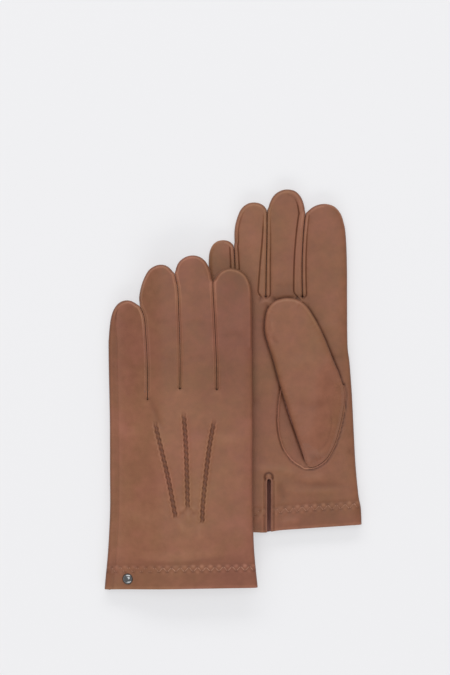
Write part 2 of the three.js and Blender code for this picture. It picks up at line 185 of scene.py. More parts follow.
# The thumb as it lies on the palm: its free edge, and the edge along which it is sewn into the palm.
THUMB_FREE = [(15.8, 48.6), (10.9, 63), (4.1, 82.9), (-3.4, 106.5), (-9, 126.8), (-14.2, 142.9), (-15.2, 152),
              (-13.6, 163), (-9, 169.4), (-3, 172), (3.6, 172.6), (10, 171), (16, 166.6), (22.9, 156),
              (29.6, 142.5), (35.8, 126.8), (40.2, 116.7), (43.4, 107.3)]
THUMB_SEWN = [(43.4, 107.3), (44.4, 100), (43.4, 88.5), (39.6, 71.7), (35.6, 60.6), (30.2, 52.4),
              (23.4, 47.4), (18.6, 46.6), (15.8, 48.6)]
OVAL_SEAM = [(-2.4, 108), (-4.7, 92), (-4.9, 76), (-1.7, 62), (4.4, 52.6), (11, 47.6), (17.2, 45.4),
             (23.6, 46.4), (31, 51.4), (36.2, 60), (40.4, 71.4), (44.2, 88.3), (45, 100), (44.2, 107.4)]
THUMB_SHIFT = {"right": (0.0, 0.0), "left": (7.3, -2.0)}

# Soft folds: points, half-width, and how far the fold stands out, or in where it is negative.
CREASES_THUMB = [
    ([(-9, 144), (-7.5, 140), (-4, 139)], 0.8, -0.35),
    ([(-10.5, 158), (-9.5, 151), (-8.5, 145)], 0.8, 0.3),
    ([(20.5, 62), (26, 58), (33, 60)], 2.0, 0.35),
    ([(18, 57), (24, 53), (31, 54)], 1.8, -0.3),
    ([(18, 55), (16, 50), (19, 47)], 1.2, 0.4),
    ([(2, 120), (14, 126), (28, 124)], 3.0, 0.22),
    ([(5, 96), (20, 92), (36, 97)], 2.6, -0.25),
]

# The same in each face of each glove.
CREASES = {
    "left_back": [
        ([(-22, 141), (-17, 128), (-15, 119)], 1.6, -0.35),
        ([(5.2, 62), (3.4, 58.4), (-0.6, 55.6)], 0.8, -0.5),
        ([(6.4, 62), (8.4, 58), (12.4, 55.4)], 0.8, -0.5),
        ([(-1.6, 60.6), (1.2, 59.6), (3.4, 62)], 0.9, 0.5),
        ([(13, 61), (10, 59.6), (8, 62)], 0.9, 0.5),
        ([(5.8, 59), (6, 54), (6.4, 49)], 1.1, 0.45),
        ([(-3.4, 53), (1, 47), (3, 40)], 1.2, 0.35),
        ([(16.2, 50), (14, 43), (15, 36)], 1.2, 0.35),
        ([(-46, 60), (-30, 54), (-14, 53)], 3.2, 0.3),
        ([(-44, 27), (-20, 24), (6, 25), (40, 29)], 2.4, 0.3),
        ([(-44, 22), (-20, 20.5), (10, 21), (42, 25)], 1.4, -0.3),
        ([(20, 118), (32, 112), (46, 112)], 3.0, 0.3),
        ([(-50, 118), (-38, 116), (-28, 121)], 3.0, 0.28),
        ([(-50, 165), (-40, 168), (-30, 164)], 1.6, -0.12),
        ([(-22, 196), (-14, 199), (-6, 196)], 1.6, -0.12),
        ([(2, 195), (12, 199), (21, 196)], 1.6, -0.12),
        ([(29, 186), (40, 190), (50, 186)], 1.6, -0.12),
        ([(-20, 171), (-13, 173), (-5, 170)], 1.3, -0.1),
        ([(4, 170), (13, 173), (22, 170)], 1.3, -0.1),
    ],
    "left_palm": [
        ([(-48, 128), (-20, 134), (10, 138)], 2.2, -0.4),
        ([(-30, 40), (0, 36), (35, 42)], 2.6, 0.35),
    ],
    "right_palm": [
        ([(-26, 43.5), (-12, 45.5), (4, 43), (14, 41)], 2.0, 0.5),
        ([(12, 41.5), (20, 38.5), (32, 40)], 2.4, 0.4),
        ([(2, 37), (20, 33.5), (48, 33)], 1.8, -0.3),
        ([(-4, 31), (14, 28), (46, 30)], 1.6, 0.22),
        ([(-3, 4), (4, 7), (12, 6)], 1.6, 0.45),
        ([(-24, 6), (-18, 10), (-15, 16)], 1.6, 0.4),
        ([(-6, 36), (-2, 29), (-1, 20)], 1.8, -0.35),
        ([(47, 60), (50, 56), (53, 55)], 1.2, -0.25),
        ([(20, 148), (33, 152), (45, 150)], 2.4, 0.25),
        ([(26, 132), (38, 128), (47, 130)], 2.0, -0.22),
        ([(-9, 184), (-1, 181), (8, 184)], 1.4, -0.15),
        ([(-10, 214), (0, 217), (10, 214)], 1.5, -0.12),
        ([(18, 205), (29, 209), (40, 205)], 1.6, -0.12),
        ([(-33, 207), (-26, 210), (-19, 207)], 1.5, -0.12),
        ([(-44, 88), (-30, 94), (-14, 94)], 2.6, -0.3),
    ],
    "right_back": [
        ([(-46, 27), (-10, 24), (40, 28)], 2.4, 0.35),
        ([(-30, 204), (-24, 207), (-18, 204)], 1.5, -0.25),
        ([(-9, 208), (0, 212), (9, 208)], 1.5, -0.25),
        ([(18, 200), (29, 204), (41, 200)], 1.5, -0.25),
    ],
}

# Reliefs, with the painted shade and highlights that go with them, beside a line: height or tone, where its
# middle is, and its half-width. A negative tone is painted shade in a groove, and a positive one is a painted
# highlight on a ridge.
SEAM_RELIEF = [(0.34, 0.85, 0.45), (-0.75, 0, 0.27), (0.12, -1.1, 0.6)]  # bead, pressed line, round skin
SEAM_PAINTED_SHADING = [(-0.42, 0, 0.36), (0.1, -1.2, 0.6)]
OVAL_RELIEF = [(0.15, 2.2, 0.9), (-0.45, 0.7, 0.4)]
KNOT_RELIEF = [(0.5, 0, 1.4), (-0.5, 3.0, 0.6)]
KNOT_PAINTED_SHADING = [(0.14, 0, 1.2), (-0.62, 3.0, 0.65)]


# ---------------------------------------------------------------- curves in plan
def smooth_line(points):
    """A dense Catmull-Rom line through the points."""
    p = np.array(points, float)
    p = np.vstack([2 * p[0] - p[1], p, 2 * p[-1] - p[-2]])
    u = np.linspace(0, 1, 24, endpoint=False)[:, None]
    parts = [0.5 * (2 * b + (c - a) * u + (2 * a - 5 * b + 4 * c - d) * u**2 + (3 * b - a - 3 * c + d) * u**3)
             for a, b, c, d in zip(p[:-3], p[1:-2], p[2:-1], p[3:])]
    return np.vstack(parts + [p[-2]])


def resample(line, step):
    length = np.concatenate([[0], np.cumsum(np.linalg.norm(np.diff(line, axis=0), axis=1))])
    count = max(2, int(round(length[-1] / step)) + 1)
    at = np.linspace(0, length[-1], count)
    return np.stack([np.interp(at, length, line[:, i]) for i in range(2)], 1)


def curve(points, step):
    return resample(smooth_line(points), step)


def unit(vectors):
    return vectors / np.maximum(np.linalg.norm(vectors, axis=-1, keepdims=True), 1e-12)


def directions(line):
    return unit(np.gradient(line, axis=0))


def rightward(line):
    """Unit vectors across a plan line, to the right of its direction."""
    return directions(line)[:, ::-1] * (1, -1)


def tree_of(points):
    """A search tree over plan points."""
    tree = kdtree.KDTree(len(points))
    for i, (x, y) in enumerate(points):
        tree.insert((x, y, 0), i)
    tree.balance()
    return tree


def nearest_on(points, line):
    """Each point's distance to the line, and how far along the line the nearest place is, in vertices."""
    tree = tree_of(line)
    near = np.array([[found[1] for found in tree.find_n((x, y, 0), 4)] for x, y in points])
    best = np.full(len(points), 1e9)
    where = near[:, 0].astype(float)
    for column in near.T:
        for shift in (-1, 0):
            index = np.clip(column + shift, 0, len(line) - 2)
            a, ab = line[index], line[index + 1] - line[index]
            t = np.clip(((points - a) * ab).sum(1) / np.maximum((ab * ab).sum(1), 1e-12), 0, 1)
            distance = np.linalg.norm(points - a - ab * t[:, None], axis=1)
            closer = distance < best
            best = np.where(closer, distance, best)
            where = np.where(closer, index + t, where)
    return best, where


def beside(points, line):
    """Each point's signed distance from the line, its distance along it, and the line's length."""
    distance, where = nearest_on(points, line)
    index = np.clip(np.floor(where).astype(int), 0, len(line) - 2)
    step = line[index + 1] - line[index]
    offset = points - line[index]
    side = np.sign(offset[:, 0] * step[:, 1] - offset[:, 1] * step[:, 0])
    spacing = np.linalg.norm(line[1] - line[0])
    return distance * side, where * spacing, (len(line) - 1) * spacing


def inside(points, loop):
    """Whether each point lies inside the closed loop."""
    result = np.zeros(len(points), bool)
    x, y = points[:, 0], points[:, 1]
    for (x0, y0), (x1, y1) in zip(loop, np.roll(loop, -1, axis=0)):
        crosses = (y0 > y) != (y1 > y)
        if y1 != y0:
            result ^= crosses & (x < (x1 - x0) * (y - y0) / (y1 - y0) + x0)
    return result


def smoothstep(t):
    t = np.clip(t, 0, 1)
    return t * t * (3 - 2 * t)


def bump(distance, width):
    return np.exp(-0.5 * (distance / width) ** 2)


def profile(distance, waves):
    """Adds up soft ridges and grooves, each with its height, middle and half-width."""
    return sum(height * bump(distance - middle, width) for height, middle, width in waves)


def rounded(distance, radius):
    """How a round edge rises, from 0 at the edge to 1 at the radius and beyond."""
    return (1 - (1 - np.clip(distance / radius, 0, 1)) ** EDGE_POWER) ** (1 / EDGE_POWER)


def ripple(points, size, seed, stretch=(1, 1)):
    """Smooth noise from about -1 to 1 over plan points, with features about size across."""
    scaled = points / size * np.array(stretch)
    return np.array([noise.noise((x, y, seed)) for x, y in scaled])


# ---------------------------------------------------------------- a glove's plan
def build_plan(glove):
    """The edge of the hand and fingers, walked from the cuff's little-finger corner to its thumb corner."""
    step = OUTLINE_STEP
    stretches, traits = [], []

    def add(line, **values):
        stretches.append(line)
        traits.append({key: np.broadcast_to(value, len(line)) for key, value in values.items()})

    fingers = glove["fingers"]
    lines = {name: curve(fingers[name], step) for name in FINGERS}
    facing = close_gaps(lines)
    ulnar = curve(glove["ulnar"] + [fingers["little"][0]], step)
    side_seam = glove["back"]["little"][0][1]
    add(ulnar, back=side_seam, palm=0, tip=0, facing=0)
    for name in FINGERS:
        line = lines[name]
        apex = int(np.argmax(line[:, 1]))
        base = glove["finger_line"] - glove["crotch_depth"]
        first = np.arange(len(line)) <= apex
        foot = np.full(len(line), base)
        if name == "little":
            foot[first] = line[0, 1]
        if name == "index":
            foot[~first] = line[-1, 1]
        rise = np.clip((line[:, 1] - foot) / (line[apex, 1] - foot), 0, 1)
        inset = {}
        for face in ("back", "palm"):
            (tip0, base0), (tip1, base1) = glove[face][name]
            inset[face] = np.where(first, base0 + (tip0 - base0) * rise, base1 + (tip1 - base1) * rise)
            closing = np.clip((line[:, 1] - base) / np.maximum(inset[face], 1e-6), 0, 1)
            inset[face] = inset[face] * np.sqrt(1 - (1 - closing) ** 2)
        add(line, back=inset["back"], palm=inset["palm"], tip=rise, facing=facing[name])
    radial = curve([fingers["index"][-1]] + glove["radial"], step)
    add(radial, back=0, palm=0, tip=0, facing=0)

    edge, kept = [], {key: [] for key in traits[0]}
    for line, trait in zip(stretches, traits):
        meets = bool(edge) and np.linalg.norm(line[0] - edge[-1][-1]) < 0.3
        if edge and not meets:
            edge.append((line[:1] + edge[-1][-1:]) / 2 - [[0, 0.35]])
            for key, values in kept.items():
                values.append(trait[key][:1])
        start = 1 if meets else 0
        edge.append(line[start:])
        for key, values in kept.items():
            values.append(trait[key][start:])
    plan = {key: np.concatenate(values) for key, values in kept.items()}
    plan["edge"] = np.vstack(edge)
    plan["sag"] = glove["cuff_sag"]
    cuff = resample(np.array([plan["edge"][-1], plan["edge"][0]]), step)[1:-1, 0]
    plan["cuff"] = np.stack([cuff, cuff_height(cuff, plan)], 1)
    return plan


def from_edge(plan, key, where):
    """A value of the plan's edge at places given in edge vertices."""
    lower = np.floor(where).astype(int)
    upper = np.minimum(lower + 1, len(plan[key]) - 1)
    part = where - lower
    return plan[key][lower] * (1 - part) + plan[key][upper] * part


def close_gaps(lines):
    """Moves neighbouring fingers' facing edges together, and returns how closely each place faces one."""
    facing = {name: np.zeros(len(line)) for name, line in lines.items()}
    for one, other in zip(FINGERS[:-1], FINGERS[1:]):
        moved = {}
        for mine, theirs in ((one, other), (other, one)):
            tree = tree_of(resample(lines[theirs], 0.1))
            moved[mine] = lines[mine].copy()
            for i, (x, y) in enumerate(lines[mine]):
                near, _, gap = tree.find((x, y, 0))
                if FINGER_GAP < gap < GAP_OPEN:
                    nearness = smoothstep((GAP_OPEN - gap) / (GAP_OPEN - GAP_CLOSED))
                    share = (gap - FINGER_GAP) / gap / 2 * nearness
                    moved[mine][i] += np.array((near.x - x, near.y - y)) * share
                    facing[mine][i] = max(facing[mine][i], nearness)
        lines.update(moved)
    return facing


def crotch_at(glove, i):
    """The plan x of the gap between finger i and the next."""
    left = glove["fingers"][FINGERS[i]][-1]
    right = glove["fingers"][FINGERS[i + 1]][0]
    return (left[0] + right[0]) / 2


def vent_loop(half):
    """The wrist slit: two straight sides and a round crown, open at the cuff."""
    turn = np.linspace(0, math.pi, 13)
    crown = np.stack([VENT["x"] + half * np.cos(turn), VENT["crown"] + half * np.sin(turn)], 1)
    return np.vstack([[VENT["x"] + half, -20], crown, [VENT["x"] - half, -20]])


def hole_loop(glove):
    """The opening in the palm that leads into the thumb."""
    turn = np.linspace(0, 2 * math.pi, 48, endpoint=False)
    (cx, cy), (rx, ry) = THUMB_HOLE["centre"], THUMB_HOLE["radii"]
    dx, dy = THUMB_SHIFT[glove["name"]]
    return np.stack([cx + dx + rx * np.cos(turn), cy + dy + ry * np.sin(turn)], 1)


class Net:
    """Plan points inside a rim, and the lines that the triangles between them have to follow."""

    def __init__(self, rim):
        self.rim = rim
        self.points = [rim]
        self.lines = []

    def add(self, points):
        self.points.append(points)

    def add_line(self, line, closed=False):
        first = sum(len(points) for points in self.points)
        last = first + len(line) - 1
        self.lines += [(i, i + 1) for i in range(first, last)]
        if closed:
            self.lines.append((last, first))
        self.points.append(line)

    def inset(self, line, across, distance, edge):
        """The line moved inwards, and which of its points stay clear of the rest of the edge."""
        row = line + across * distance[:, None]
        near, _ = nearest_on(row, edge)
        return row, (distance > 0.05) & inside(row, self.rim) & (near > distance * 0.97)

    def field(self, grid, edge, clear):
        """Even rows of points over the whole inside, clear of the edge."""
        low, high = self.rim.min(0), self.rim.max(0)
        ys = np.arange(low[1], high[1], grid * ROW_RATIO)
        gx, gy = np.meshgrid(np.arange(low[0], high[0], grid), ys)
        gx = gx + (np.arange(len(ys)) % 2)[:, None] * grid / 2
        field = np.stack([gx.ravel(), gy.ravel()], 1)
        field = field[inside(field, self.rim)]
        near, _ = nearest_on(field, edge)
        return field[near > clear]

    def triangles(self):
        every = np.vstack(self.points)
        rim = list(range(len(self.rim)))
        out = delaunay_2d_cdt([Vector(p) for p in every], self.lines, [rim], 1, 1e-4)
        vertices = np.array([(v[0], v[1]) for v in out[0]])
        faces = np.array([f for f in out[2] if len(f) == 3])
        a, b, c = (vertices[faces[:, k]] for k in range(3))
        area = (b[:, 0] - a[:, 0]) * (c[:, 1] - a[:, 1]) - (c[:, 0] - a[:, 0]) * (b[:, 1] - a[:, 1])
        faces = np.where(area[:, None] < 0, faces[:, ::-1], faces)
        return vertices, faces[np.abs(area) > 1e-7]


def shifts(half, step):
    """Even steps from one side of a line to the other."""
    return np.arange(-half, half + 0.05, step)


def triangulate(glove, plan, grid, rows, seam_rows, fine):
    """Fills the plan with triangles that follow its edges, its seams, the vent and the finger base lines."""
    edge = plan["edge"]
    net = Net(np.vstack([edge, plan["cuff"]]))
    across = rightward(edge)

    def inset_row(distance):
        row, good = net.inset(edge, across, distance, edge)
        return row, good & (row[:, 1] > cuff_height(row[:, 0], plan) + 0.4)

    for distance in rows:
        row, good = inset_row(np.full(len(edge), distance))
        net.add(row[good][:: 1 if distance < 3 else 2])
    for face in ("back", "palm"):
        for shift in seam_rows:
            row, good = inset_row(np.where(plan[face] > 0, plan[face] + shift, 0))
            if shift == 0:
                for run in runs_of(good):
                    if len(run) > 3:
                        net.add_line(row[run])
            else:
                net.add(row[good])

    field = net.field(grid, edge, rows[-1] + grid * 0.6)
    field = field[field[:, 1] > cuff_height(field[:, 0], plan) + grid * 0.7]
    if fine:
        for line in POINT_LINES.values():
            near, _ = nearest_on(field, curve(line, 2.0))
            field = field[near > POINT_BAND["clear"]]
        near = np.abs(field[:, 1] - cuff_height(field[:, 0], plan) - HEM_HEIGHT)
        field = field[near > HEM_BAND["clear"]]
    net.add(field)

    if fine:
        for line in POINT_LINES.values():
            row = curve(line, 0.7)
            for shift in shifts(POINT_BAND["half"], POINT_BAND["step"]):
                net.add(row + rightward(row) * shift)
        for shift in np.arange(VENT_BAND["step"], VENT_BAND["reach"], VENT_BAND["step"]):
            row = resample(vent_loop(VENT["half"] + shift), 0.7)
            net.add(row[row[:, 1] > cuff_height(row[:, 0], plan) + 0.5])
        hem_x = np.arange(edge[0, 0] + 1, edge[-1, 0] - 1, 0.65)
        for shift in shifts(HEM_BAND["half"], HEM_BAND["step"]):
            net.add(np.stack([hem_x, cuff_height(hem_x, plan) + HEM_HEIGHT + shift], 1))

    for half in (VENT["half"], VENT["half"] + 1.0):
        slit = resample(vent_loop(half), grid * 0.8)
        slit = slit[slit[:, 1] > cuff_height(slit[:, 0], plan)]
        ends = [[x, cuff_height(x, plan)] for x in (slit[0, 0], slit[-1, 0])]
        net.add_line(np.vstack([ends[0], slit, ends[1]]))
    net.add_line(hole_loop(glove), closed=True)

    base = glove["finger_line"]
    for i, name in enumerate(FINGERS):
        xs = [x for x, _ in glove["fingers"][name]]
        x0 = min(xs) - 4 if i == 0 else crotch_at(glove, i - 1)
        x1 = max(xs) + 4 if i == 3 else crotch_at(glove, i)
        near = edge[(np.abs(edge[:, 1] - base) < 3) & (edge[:, 0] > x0 - 1) & (edge[:, 0] < x1 + 1)]
        sides = (near[near[:, 0] < (x0 + x1) / 2], near[near[:, 0] > (x0 + x1) / 2])
        ends = np.array([side[np.argmin(abs(side[:, 1] - base))] for side in sides])
        net.add_line(resample(ends, grid)[1:-1])
    return net.triangles()


def runs_of(mask):
    """The stretches of consecutive true places in a mask."""
    index = np.flatnonzero(mask)
    if not len(index):
        return []
    return np.split(index, np.flatnonzero(np.diff(index) > 1) + 1)


def cuff_height(x, plan):
    edge = plan["edge"]
    (x0, y0), (x1, y1) = edge[0], edge[-1]
    x = np.asarray(x)
    return y0 + (y1 - y0) * (x - x0) / (x1 - x0) - plan["sag"] * bump(x - VENT["x"] + 3, 5)


# ---------------------------------------------------------------- where a glove lies
def glove_origin(glove):
    """Where the plan's origin is in the scene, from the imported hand's thumb edge and finger line."""
    _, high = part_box(glove["name"] + "_hand_back")
    return np.array([high.x / MM - glove["radial"][-1][0], high.y / MM - glove["finger_line"]])


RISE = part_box("left_hand_palm")[1].z / MM - LEATHER  # how high the left glove's thumb side lies
DRAPE_START, DRAPE_END = -50.7, -9.0  # between these it climbs on to the right glove
TIP_DROOP = 2.4  # how far the raised fingertips sink again
CUFF_DROOP = 5.5  # and how far the raised cuff would, if it went on past its edge


def underside(x, y):
    """Height of the left glove's underside over its own plan."""
    raised = smoothstep((x - DRAPE_START) / (DRAPE_END - DRAPE_START))
    sink = TIP_DROOP * smoothstep((y - 180) / 70) + CUFF_DROOP * smoothstep((45 - y) / 60)
    return raised * (RISE - sink)


def place(glove, plan_points, depth):
    """Where plan points at a depth under the outside of the back are in the scene, in millimetres."""
    x, y = plan_points[:, 0], plan_points[:, 1]
    ox, oy = glove_origin(glove)
    z = depth if glove["palm_up"] else underside(x, y) + GLOVE_THICK - depth
    return np.stack([x + ox, y + oy, np.broadcast_to(z, x.shape)], 1)


# ---------------------------------------------------------------- meshes
def vertex_normals(positions, faces):
    a, b, c = (positions[faces[:, k]] for k in range(3))
    face_normal = np.cross(b - a, c - a)
    result = np.zeros_like(positions)
    for k in range(3):
        np.add.at(result, faces[:, k], face_normal)
    return unit(result)


def other_face(faces, on_edge):
    """The same triangles on a second layer of points, which shares the first layer's edge."""
    count = len(on_edge)
    second = np.where(on_edge, np.arange(count), np.arange(count) + count)
    return second[faces[:, ::-1]]


def smoothed(values, faces, free, rounds):
    """Relaxes a value over a triangle mesh, where free."""
    pairs = np.vstack([faces[:, [0, 1]], faces[:, [1, 2]], faces[:, [2, 0]]])
    pairs = np.vstack([pairs, pairs[:, ::-1]])
    degree = np.bincount(pairs[:, 0], minlength=len(values))
    for _ in range(rounds):
        total = np.bincount(pairs[:, 0], weights=values[pairs[:, 1]], minlength=len(values))
        mean = total / np.maximum(degree, 1)
        values = np.where(free, mean, values)
    return values


def add_object(name, data):
    item = bpy.data.objects.new(name, data)
    bpy.context.scene.collection.objects.link(item)
    return item


def make_object(name, positions, faces, material, normals=None, tone=None):
    mesh = bpy.data.meshes.new(name)
    sizes = np.array([len(face) for face in faces])
    flat = np.concatenate([np.asarray(face) for face in faces])
    mesh.vertices.add(len(positions))
    mesh.vertices.foreach_set("co", (positions * MM).astype(np.float32).ravel())
    mesh.loops.add(len(flat))
    mesh.loops.foreach_set("vertex_index", flat.astype(np.int32))
    mesh.polygons.add(len(sizes))
    mesh.polygons.foreach_set("loop_start", np.concatenate([[0], np.cumsum(sizes)[:-1]]).astype(np.int32))
    mesh.polygons.foreach_set("use_smooth", np.full(len(sizes), True))
    mesh.update(calc_edges=True)
    mesh.validate()
    shade = mesh.attributes.new("tone", "FLOAT", "POINT")
    shade.data.foreach_set("value", np.full(len(positions), 0.5) if tone is None else tone)
    if normals is not None:
        mesh.normals_split_custom_set_from_vertices(normals.tolist())
    mesh.materials.append(material)
    return add_object(name, mesh)


def shell(name, positions, normals, faces, outer, inner, material, tone=None):
    """A closed sheet of leather or cloth between two depths under a surface."""
    used, local = np.unique(faces, return_inverse=True)
    local = local.reshape(faces.shape)
    count = len(used)
    p, n = positions[used], normals[used]
    pairs = np.vstack([local[:, [0, 1]], local[:, [1, 2]], local[:, [2, 0]]])
    key = np.sort(pairs, axis=1)
    _, first, times = np.unique(key[:, 0] * count + key[:, 1], return_index=True, return_counts=True)
    rim = pairs[first[times == 1]]
    walls = np.vstack([
        np.stack([rim[:, 1], rim[:, 0], rim[:, 0] + count], 1),
        np.stack([rim[:, 1], rim[:, 0] + count, rim[:, 1] + count], 1),
    ])
    every = np.vstack([local, local[:, ::-1] + count, walls])
    shade = None if tone is None else np.concatenate([tone[used], np.full(count, 0.42)])
    sheets = np.vstack([p - n * outer, p - n * inner])
    return make_object(name, sheets, every, material, np.vstack([n, -n]), shade)


# ---------------------------------------------------------------- the skin of a glove
def seam_weight(seam, face, tip):
    """Seams stand out where the strip beyond them is wide, and fade round the fingertips."""
    weight = 0.3 + 0.7 * smoothstep((seam - 1.7) / 1.8)
    if face == "back":
        return weight * (1 - 0.85 * smoothstep((seam - 2.2) / 2))
    return weight * (1 - 0.8 * smoothstep((tip - 0.84) / 0.12))


def point_detail(at):
    """The three points of the back: a narrow tuck whipped with slanting stitches, between two raised lips.
    The sunken tuck, its slanting grooves and the grooves beside it are painted darker as shade, and the lips
    are painted lighter as highlights.
    """
    out, tone = np.zeros(len(at)), np.zeros(len(at))
    half = ROPE["half"]
    for points in POINT_LINES.values():
        q, along, length = beside(at, curve(points, 0.8))
        turn = 2 * np.pi * (along / ROPE["pitch"] + ROPE["slant"] * q / half)
        crown = 0.5 + 0.5 * np.cos(turn)
        q = np.abs(q - ROPE["sway"] * np.sin(2 * np.pi * along / ROPE["pitch"]))
        band = smoothstep((half + 0.3 - q) / 0.6)
        fade = smoothstep(along / 9) * smoothstep((length - along) / 2.5)
        rope = band * (0.5 * crown * (1 - (q / half) ** 2) - 0.4)
        out += fade * (rope - 0.5 * bump(q - half - 0.08, 0.3) + 0.55 * bump(q - half - 1.1, 0.7))
        # painted shade in the tuck and its grooves, painted highlight on the lips
        groove = 0.44 * bump(q - half - 0.05, 0.36) * (0.35 + 0.65 * crown)
        lip = 0.27 * bump(q - half - 1.0, 0.5) * (0.5 + crown)
        tone += fade * (-0.1 * band - 0.22 * band * (1 - crown) - groove + lip)
    return out, tone


def hem_shown(x):
    """The zigzag is pulled in out of sight on the little-finger side, and stands out on the thumb side."""
    return 0.25 + 0.75 * smoothstep((x + 22) / 12)


def hem_detail(at, plan):
    """The hem: a turned-up edge held by a zigzag, with a needle hole at each corner and puffs between. The
    groove over the zigzag and the needle holes are painted darker as shade, the puffs and the lip of the
    cuff's edge are painted lighter as highlights, and the band from the zigzag down is a little darker.
    """
    height = at[:, 1] - cuff_height(at[:, 0], plan) - HEM_HEIGHT
    swing = np.cos(2 * np.pi * at[:, 0] / HEM_PERIOD)
    lively = ripple(at, 17, 41.5) + 0.4 * bump(at[:, 0] - 6, 9)
    shown = hem_shown(at[:, 0])
    out = 0.3 * smoothstep((HEM_REACH + 1.2 - height) / 1.5) - 0.25 * bump(height - HEM_REACH - 1.5, 0.8)
    # painted shade in the groove over the zigzag; the band from the zigzag down is a little darker
    tone = -0.08 * bump(height - HEM_REACH - 1.6, 1.0) - 0.06 * smoothstep((HEM_REACH - height) / 3)
    for side in (1, -1):
        hole = bump(height - side * HEM_REACH, 0.55) * bump((1 - side * swing) * 1.6, 0.6)
        puff = bump(height - side * (HEM_REACH + 0.4), 0.7) * smoothstep(-side * swing)
        out += 0.2 * puff - 0.3 * hole
        # painted highlight on each puff, painted shade in each needle hole
        tone += (0.2 + 0.1 * side) * (1 + 2 * lively) * shown * puff - 0.18 * hole
    # painted highlight along the lip of the cuff's edge
    lip = bump(height + HEM_HEIGHT - 0.9, 0.7)
    return out - 0.1 * lip, tone + 0.22 * lip


def crotch_feet(glove):
    return [np.array(glove["fingers"][name][-1]) + (0.3, 0.4) for name in FINGERS[:3]]


def above_crotches(at, glove):
    """1 beside the fingers, and 0 just under the foot of each gap, where a finger's seams end."""
    shown = np.ones(len(at))
    for foot in crotch_feet(glove):
        under = smoothstep((foot[1] + 0.4 - at[:, 1]) / 1.4) * (np.abs(at[:, 0] - foot[0]) < 11)
        shown = np.minimum(shown, 1 - under)
    return shown


def crotch_detail(at, glove, face):
    """The quirk between two fingers: a pit at the foot of their gap, painted dark as shade, and a small lip
    under it, painted lighter as a highlight.
    """
    out, tone = np.zeros(len(at)), np.zeros(len(at))
    strength = 1.0 if face == "palm" else 0.25
    for foot in crotch_feet(glove):
        pit = bump(np.linalg.norm((at - foot) * (0.6, 1), axis=1), 1.2)
        lip = bump(np.linalg.norm((at - foot + (0, 3.2)) * (0.4, 1.3), axis=1), 1.1)
        out += strength * (0.45 * lip - 0.8 * pit)
        # painted shade in the pit, painted highlight on the lip
        tone += strength * (0.28 * lip - 0.5 * pit)
    return out, tone


def crease_detail(at, creases):
    """How far soft folds stand out, with a painted highlight along a fold that stands out and painted shade
    along one that sinks.
    """
    out, tone = np.zeros(len(at)), np.zeros(len(at))
    for points, width, lift in creases:
        q, along, length = beside(at, curve(points, 1.5))
        fade = smoothstep(np.minimum(along, length - along) / (0.3 * length))
        ridge = bump(np.abs(q), width) * fade
        out += lift * ridge
        # painted highlight along a raised fold, painted shade along a sunken one
        tone += 0.16 * np.sign(lift) * min(1.0, abs(lift) / 0.4) * ridge
    return out, tone


def oval_detail(at, glove):
    """The seam round the thumb's root, and the groove that the folded thumb presses into the palm. A line of
    painted shade runs just outside the seam, and a painted contact shadow runs along the thumb's free edge.
    """
    oval = curve(OVAL_SEAM, 1.0) + THUMB_SHIFT[glove["name"]]
    q, _ = nearest_on(at, oval)
    outside = ~inside(at, oval)
    out = np.where(outside, profile(q, OVAL_RELIEF), -0.45 * smoothstep(q / 1.2))
    # painted shade: a dark line just outside the seam, and a fainter one inside it
    tone = -np.where(outside, 0.42 * bump(q - 0.7, 0.45), 0.1 * bump(q - 1.2, 0.4))
    if glove["palm_up"]:
        q, _ = nearest_on(at, curve(THUMB_FREE, 1.0))
        # painted contact shadow along the folded thumb's free edge, on top of the groove it presses in
        pressed = 0.5 * smoothstep((at[:, 1] - 48) / 6)
        out -= pressed * bump(q, 0.9)
        tone -= pressed * bump(q, 0.75)
    return out, tone


def vent_detail(at):
    """The raised skin round the wrist slit, with a stitched line beside it and a knot over its crown. The
    raised skin and the knot's top are painted lighter as highlights, and the stitched line and the groove
    round the knot are painted darker as shade.
    """
    q, _ = nearest_on(at, vent_loop(VENT["half"]))
    beside_slit = 1 - smoothstep((at[:, 1] - VENT["crown"] + 1) / 1.5)
    knot = np.linalg.norm(at - (VENT["x"] - 0.3, VENT["crown"] + 2.6), axis=1)
    out = 0.3 * bump(q - 3.2, 1.4) - 0.3 * beside_slit * bump(q - 2.1, 0.4) + profile(knot, KNOT_RELIEF)
    # painted highlight on the raised skin and the knot's top, painted shade in the stitched line and round
    # the knot
    tone = 0.12 * bump(q - 3.2, 1.0) - 0.26 * beside_slit * bump(q - 2.1, 0.45) + profile(knot, KNOT_PAINTED_SHADING)
    return out, tone


def painted_light_and_broad_tone(at, glove):
    """Lighter or darker leather from one part of a glove to another. On the right glove it is painted light,
    which lifts the left glove's shadow off the little-finger side and darkens the rest a little. On the left
    glove it is darker towards the fingertips, the thumb side and the cuff.
    """
    x, y = at[:, 0], at[:, 1]
    if glove["name"] == "right":
        # painted light lifting the left glove's shadow off the right palm's little-finger side
        return 0.07 * smoothstep((-5 - x) / 20) - 0.03
    fingers = 0.15 * smoothstep((y - 120) / 50)
    return -fingers - 0.07 * smoothstep((x - 5) / 30) - 0.04 * smoothstep((32 - y) / 16)


